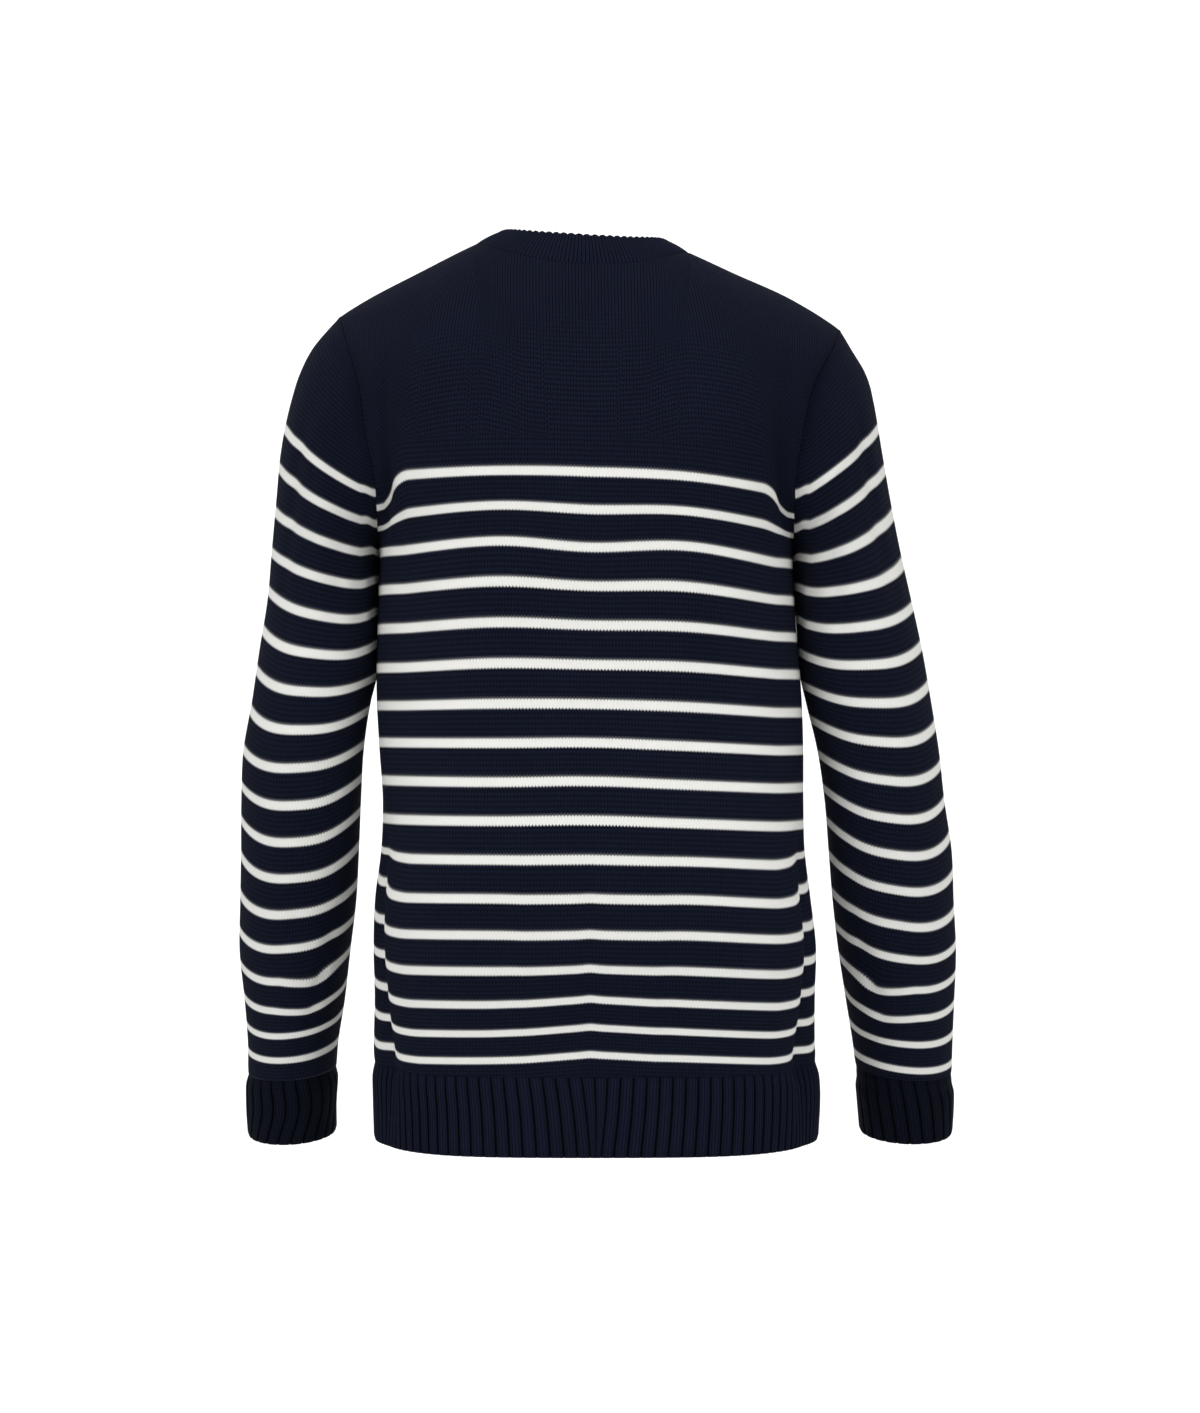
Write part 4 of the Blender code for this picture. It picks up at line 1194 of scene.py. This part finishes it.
# Folds of a sleeve: degrees round the arm from its outer line, going by the back, and metres down.
ARM_RADIUS = 0.050
SLEEVE_FOLDS = table(
    "a0     u0      a1     u1     width  depth",
    (55,   0.030,  50,   0.200,  0.007, 0.0022),
    (85,   0.050,  90,   0.180,  0.008, -0.0020),
    (112,  0.060,  106,  0.220,  0.008, 0.0022),
    (140,  0.090,  150,  0.210,  0.007, -0.0016),
    (264,  0.060,  258,  0.210,  0.008, 0.0020),
    (304,  0.040,  298,  0.180,  0.008, 0.0018),
    (235,  0.310,  290,  0.335,  0.009, 0.0024),
    (240,  0.355,  285,  0.385,  0.009, 0.0020),
    (120,  0.330,  70,   0.360,  0.012, 0.0012),
    (136,  0.460,  112,  0.545,  0.007, 0.0018),
    (100,  0.430,  75,   0.500,  0.010, 0.0010),
)
SLEEVE_FOLDS["a0"] = np.radians(SLEEVE_FOLDS["a0"]) * ARM_RADIUS
SLEEVE_FOLDS["a1"] = np.radians(SLEEVE_FOLDS["a1"]) * ARM_RADIUS


def sleeve_wall(side):
    """Outer and inner skin of a sleeve, and its stitch map."""
    turn = pi + np.linspace(0, 2 * pi, SLEEVE_COLUMNS + 1)[:-1]
    along = np.linspace(0, 1 - SEAM / 2 / SLEEVE_DROP, SLEEVE_ROWS + 1)
    skin = np.stack([sleeve_ring(side, a, turn) for a in along])
    knit_map = sleeve_stitches(side, skin)
    out = -side * ring_normals(skin)
    around = np.broadcast_to(turn % (2 * pi) * ARM_RADIUS, skin.shape[:2])
    down = np.broadcast_to(along[:, None] * SLEEVE_DROP, skin.shape[:2])
    push = fold_push(around, down, SLEEVE_FOLDS)
    from_seam = column_length(skin)
    from_cuff = from_seam[-1] - from_seam
    push = push * smooth(from_seam / SLEEVE_FADE) * smooth(from_cuff / SLEEVE_FADE)
    push = push + sewn_share(skin[..., 2]) * seam_dip(from_seam) + SEWN_SHARE * seam_dip(from_cuff)
    push[0] = 0
    skin = skin - out * push[..., None]
    out = -side * ring_normals(skin)
    toward_body = -side * np.abs(out[0, :, 0])
    out[0, :, 0] = np.where(side * out[0, :, 0] > 0, 0, toward_body)
    out[0] /= np.linalg.norm(out[0], axis=1, keepdims=True)
    return outward([skin, skin - CLOTH * out, knit_map], side, 0)


for side in (1, -1):
    name = "sleeve_" + SIDE_NAME[side]
    piece = wall("knit_" + name, *sleeve_wall(side), ring=True)
    cloth_piece(piece, name, knit)

# %% [markdown]
# ## Hem, cuffs and neckband
# Ribs are raised by moving the outer grid out between the grooves. Eight points to a rib are
# enough for a flat top with rounded shoulders. The hem's ribs are stretched open in the middle of
# the back and closed at the sides, as the band is pulled by what is in it. The neckband is so fine
# that it takes the body's own stitches. Modelled ribs give the hem its true edge, as bump can't.

# %% Rib profile
RIB_POINTS = np.array([0.0, 0.07, 0.14, 0.26, 0.5, 0.74, 0.86, 0.93])
RIB_SHOULDER = 0.20     # share of a rib's width in which it rises to its flat top
BAND_ROWS = 18
BAND_EDGE = 0.0009      # how far the free edge rounds off, and over what share of the band
EDGE_SHARE = 0.035
# Share of a seam dip at each band's seam, and the length over which the band is measured for it.
BAND_DIP = {"hem": (0.5, 0.060), "cuff": (0.5, 0.050), "neck": (0.1, 0.020)}


def rib_height(share):
    """Height of a rib across it, from 0 in the groove to 1 on its flat top."""
    return quarter_round(np.minimum(share, 1 - share) / RIB_SHOULDER)


def rib_columns(groove):
    """Places of the columns between grooves, and each column's share across its rib."""
    width = np.diff(groove)
    places = groove[:-1, None] + RIB_POINTS[None, :] * width[:, None]
    return np.append(places.ravel(), groove[-1]), np.append(np.tile(RIB_POINTS, len(width)), 0.0)


def band_edge(down):
    """The band's outer face rounds off at its free edge."""
    return BAND_EDGE * smooth((down - (1 - EDGE_SHARE)) / EDGE_SHARE)


def band_dip(band, down):
    """How far a band dips into its seam."""
    share, length = BAND_DIP[band]
    return share * seam_dip(down * length)


def band_rise(relief, band, down):
    """How far a band's outer face stands over its ring, with the ribs' relief."""
    return relief - (CLOTH - RIB_BASE) - band_edge(down) - band_dip(band, down)


def rib_stitches(share, height):
    """Places in the knit along a ring of a ribbed band, at a height above its starting row."""
    column = (np.arange(len(share)) // len(RIB_POINTS) + share) * RIB_WALES
    return np.stack([column, np.full(len(share), height / COURSE)], axis=-1)


# %% Hem bands
HEM_RIBS_GROW = 0.22            # share of the band in which its ribs rise below the seam
MIDDLE_GROOVE_TO = 0.12         # share of the band where the middle groove begins to run out
MIDDLE_GROOVE_FADE = 0.2


def hem_grooves(down, face):
    """Where each groove of the hem crosses a ring, as a share of its length."""
    place = np.linspace(-1, 1, HEM_RIBS + 1)
    pitch = 1 - HEM_CLOSING * smooth(between(np.abs(place), *HEM_CLOSES))
    groove = running_sum((pitch[1:] + pitch[:-1]) / 2)
    groove = groove / groove[-1]
    if face > 0:
        off = (groove - 0.5) * HEM_HALF_LENGTH
        fade = np.clip(1 - np.abs(off) / HEM_GATHER_REACH, 0, 1)
        groove = groove - HEM_GATHER * down * fade * np.tanh(off / HEM_GATHER) / HEM_HALF_LENGTH
    return groove


def hem_band(face):
    """Outer and inner skin of half the hem, from its free edge up, and its stitch map."""
    skin, rises, maps = [], [], []
    for down in np.linspace(1, 0, BAND_ROWS):
        places, share = rib_columns(hem_grooves(down, face))
        z = RIB_TOP_Z - SEAM / 2 + (HEM_Z - RIB_TOP_Z) * down
        skin.append(body_ring(z, places, face))
        rise = HEM_RISE * rib_height(share)
        if face > 0:                                        # the middle groove runs out going down
            middle = len(share) // 2
            near = np.abs(np.arange(len(share)) - middle) < 2
            filled = HEM_RISE * smooth((down - MIDDLE_GROOVE_TO) / MIDDLE_GROOVE_FADE)
            rise = np.where(near, np.maximum(rise, filled), rise)
        rises.append(band_rise(rise * smooth(down / HEM_RIBS_GROW), "hem", down))
        maps.append(rib_stitches(share, (1 - down) * BAND_HEIGHT["hem"]))
    skin, rises, maps = np.stack(skin), np.stack(rises), np.stack(maps)
    out = -face * normals(skin)
    out[:, [0, -1]] = flatten(out[:, [0, -1]], 1)
    skin[:, [0, -1], 1] = face * SEAM / 2
    return outward([skin + out * rises[..., None], skin - out * CLOTH, maps], face, 1)


for face in (1, -1):
    name = "hem_rib_" + FACE_NAME[face]
    cloth_piece(wall("knit_" + name, *hem_band(face)), name, rib)

# %% Cuffs
CUFF_RIBS_FROM = {1: 0.04, -1: 0.16}    # the right cuff starts with a plain strip
CUFF_RIBS_GROW = 0.18


def cuff_band(side):
    """Outer and inner skin of a cuff, from its seam down, and its stitch map."""
    groove = np.linspace(0, 2 * pi, CUFF_RIBS + 1)
    places, share = rib_columns(groove)
    skin, rises, maps = [], [], []
    for down in np.linspace(0, 1, BAND_ROWS):
        along = 1 + SEAM / 2 / SLEEVE_DROP + (CUFF_END - 1) * down
        lean = float(curve(np.array([0, 0.5, 1.0]), np.array(CUFF_LEAN[side], float), down))
        skin.append(sleeve_ring(side, along, places[:-1] + lean))
        begun = smooth((down - CUFF_RIBS_FROM[side]) / CUFF_RIBS_GROW)
        rises.append(band_rise(HEM_RISE * rib_height(share[:-1]) * begun, "cuff", down))
        maps.append(rib_stitches(share, -down * BAND_HEIGHT["cuff"]))
    skin = np.stack(skin)
    out = -side * ring_normals(skin)
    grids = [skin + out * np.stack(rises)[..., None], skin - out * CLOTH, np.stack(maps)]
    return outward(grids, side, 0)


for side in (1, -1):
    name = "cuff_" + SIDE_NAME[side]
    cloth_piece(wall("knit_" + name, *cuff_band(side), ring=True), name, cuff_rib)

# %% Neckband
NECK_FINE = 4           # points to a rib of the neckband
NECK_BAND_ROWS = 9
NECK_LOOP = 0.0012      # how far the loops of the cast-off edge stand up
NECK_LOOP_POINTS = 10   # grid points to a loop
NECK_ROUND = 0.8        # the lower, the flatter the tops of its fine ribs
NECK_FIRST_ROW = 80     # rows of stitches counted on from the plain top of the back


def refine(grid, fine):
    """A ring grid with each step between two columns cut into equal parts."""
    following = np.roll(grid, -1, axis=1)
    parts = [grid + (following - grid) * k / fine for k in range(fine)]
    return np.stack(parts, axis=2).reshape(grid.shape[0], -1, 3)


def neck_band():
    """The neckband, round from the right shoulder by the front, on the panels' own neck seam."""
    columns = slice(SHOULDER_COLUMNS, SHOULDER_COLUMNS + NECK_COLUMNS + 1)
    seam = np.concatenate([panels[-1][0][-1, columns][:-1], panels[1][0][-1, columns][:0:-1]])
    out = np.concatenate([panels[-1][1][-1, columns][:-1], panels[1][1][-1, columns][:0:-1]])
    seam[[0, NECK_COLUMNS], 1] = 0
    turn = neck_turns()
    edge = []
    for face, order in ((-1, turn[:-1]), (1, turn[:0:-1])):
        x, z = neck_line(NECK_EDGE, order, face)
        edge.append(np.stack([x, np.full(x.shape, NECK_EDGE_DEPTH[FACE_NAME[face]]), z], axis=-1))
    edge = np.concatenate(edge)
    edge[:, 1] *= seam[:, 1]
    to_edge = edge - seam
    base = seam + to_edge * SEAM / np.linalg.norm(to_edge, axis=1, keepdims=True)
    ups = np.linspace(0, 1, NECK_BAND_ROWS)
    skin = np.stack([base + (edge - base) * up + out * NECK_BOW * 4 * up * (1 - up) for up in ups])
    around = ring_normals(skin)
    around[0] = out
    skin, around = refine(skin, NECK_FINE), refine(around, NECK_FINE)
    count = skin.shape[1]
    share = np.arange(count) % NECK_FINE / NECK_FINE
    rise = NECK_RISE * np.sin(share * pi) ** NECK_ROUND
    up = ups[:, None]
    outer = skin + around * (rise[None, :] - band_edge(up) - band_dip("neck", up))[..., None]
    loops = np.abs(np.sin(np.arange(count) / NECK_LOOP_POINTS * pi))
    outer[-1, :, 2] += NECK_LOOP * loops                    # the cast-off edge, loop by loop
    outer[-2, :, 2] += NECK_LOOP * loops / 2
    column = np.broadcast_to(np.arange(count + 1) / NECK_FINE, (NECK_BAND_ROWS, count + 1))
    row = np.broadcast_to(NECK_FIRST_ROW + up * BAND_HEIGHT["neck"] / COURSE, column.shape)
    return outer, skin - around * RIB_BASE, np.stack([column, row], axis=-1)


cloth_piece(wall("knit_neckband", *neck_band(), ring=True), "neckband", knit)

# %% [markdown]
# ## Studio
# The photograph is a cut-out on white under soft light. A pale floor that sweeps up into a wall
# gives the same plain ground, and large lights from above and both sides leave no hard shadow.

# %% Floor and lights
FLOOR_Z = -1.45         # the floor that a wearer would stand on
WALL_Y = -3.4
WALL_TOP_Z = 7.0
SWEEP_RADIUS = 0.8
SWEEP_STEPS = 25
SWEEP_HALF = 30.0       # half its width, and how far it runs on behind the camera
PALE = (0.93, 0.93, 0.93, 1)
MIDDLE = (0, 0, -0.36)  # of the jumper
LIGHTS = {              # where each stands, its size, its power and what it looks at
    "top light": ((0.2, 1.3, 2.4), 2.0, 62, MIDDLE),
    "left light": ((2.6, 2.4, 0.6), 1.8, 36, MIDDLE),
    "right light": ((-2.6, 2.4, 0.6), 1.8, 32, MIDDLE),
    "background light": ((0, -1.2, 0.2), 2.4, 32, (0, WALL_Y, -0.3)),
}
SURROUND = 0.50


def pale_sweep():
    """A floor that curves up into a wall behind the jumper."""
    turn = np.linspace(0, pi / 2, SWEEP_STEPS)[1:]
    bend_y = WALL_Y + SWEEP_RADIUS * (1 - np.sin(turn))
    bend_z = FLOOR_Z + SWEEP_RADIUS * (1 - np.cos(turn))
    profile = [(SWEEP_HALF, FLOOR_Z), (WALL_Y + SWEEP_RADIUS, FLOOR_Z)]
    profile += [*zip(bend_y, bend_z), (WALL_Y, WALL_TOP_Z)]
    points = [(x, y, z) for y, z in profile for x in (-SWEEP_HALF, SWEEP_HALF)]
    faces = [(2 * i, 2 * i + 2, 2 * i + 3, 2 * i + 1) for i in range(len(profile) - 1)]
    mesh = bpy.data.meshes.new("pale floor")
    mesh.from_pydata(points, [], faces)
    mesh.shade_smooth()
    graph = Graph("pale floor")
    graph.surface({"Base Color": PALE, "Roughness": 0.9})
    mesh.materials.append(graph.material)
    floor = link("pale floor", mesh)


def soft_light(name, place, size, power, target):
    """A square light that looks at its target."""
    data = bpy.data.lights.new(name, "AREA")
    data.size = size
    data.energy = power
    light = link(name, data)
    light.location = place
    towards = np.array(target) - np.array(place)
    light.rotation_euler = Vector(towards).to_track_quat("-Z", "Y").to_euler()


pale_sweep()
for name, values in LIGHTS.items():
    soft_light(name, *values)
world = bpy.data.worlds.new("soft surround")
world.use_nodes = True
background = world.node_tree.nodes["Background"]
background.inputs["Color"].default_value = (1, 1, 1, 1)
background.inputs["Strength"].default_value = SURROUND
bpy.context.scene.world = world
bpy.context.scene.view_settings.view_transform = "Standard"

# %% [markdown]
# ## Camera
# The photograph was taken from behind, level with the middle of the back and about three metres
# away, so the camera stands there. Its frame is 1.095 m high at the jumper.

# %% Camera
CAMERA_AT = (-0.0062, 3.0, -0.363)
FRAME_HEIGHT = 1.095
SENSOR = 36.0

camera_data = bpy.data.cameras.new("camera")
camera_data.sensor_fit = "VERTICAL"
camera_data.sensor_height = SENSOR
camera_data.lens = SENSOR * CAMERA_AT[1] / FRAME_HEIGHT
camera = link("camera", camera_data)
camera.location = CAMERA_AT
camera.rotation_euler = (pi / 2, 0, pi)
bpy.context.scene.camera = camera
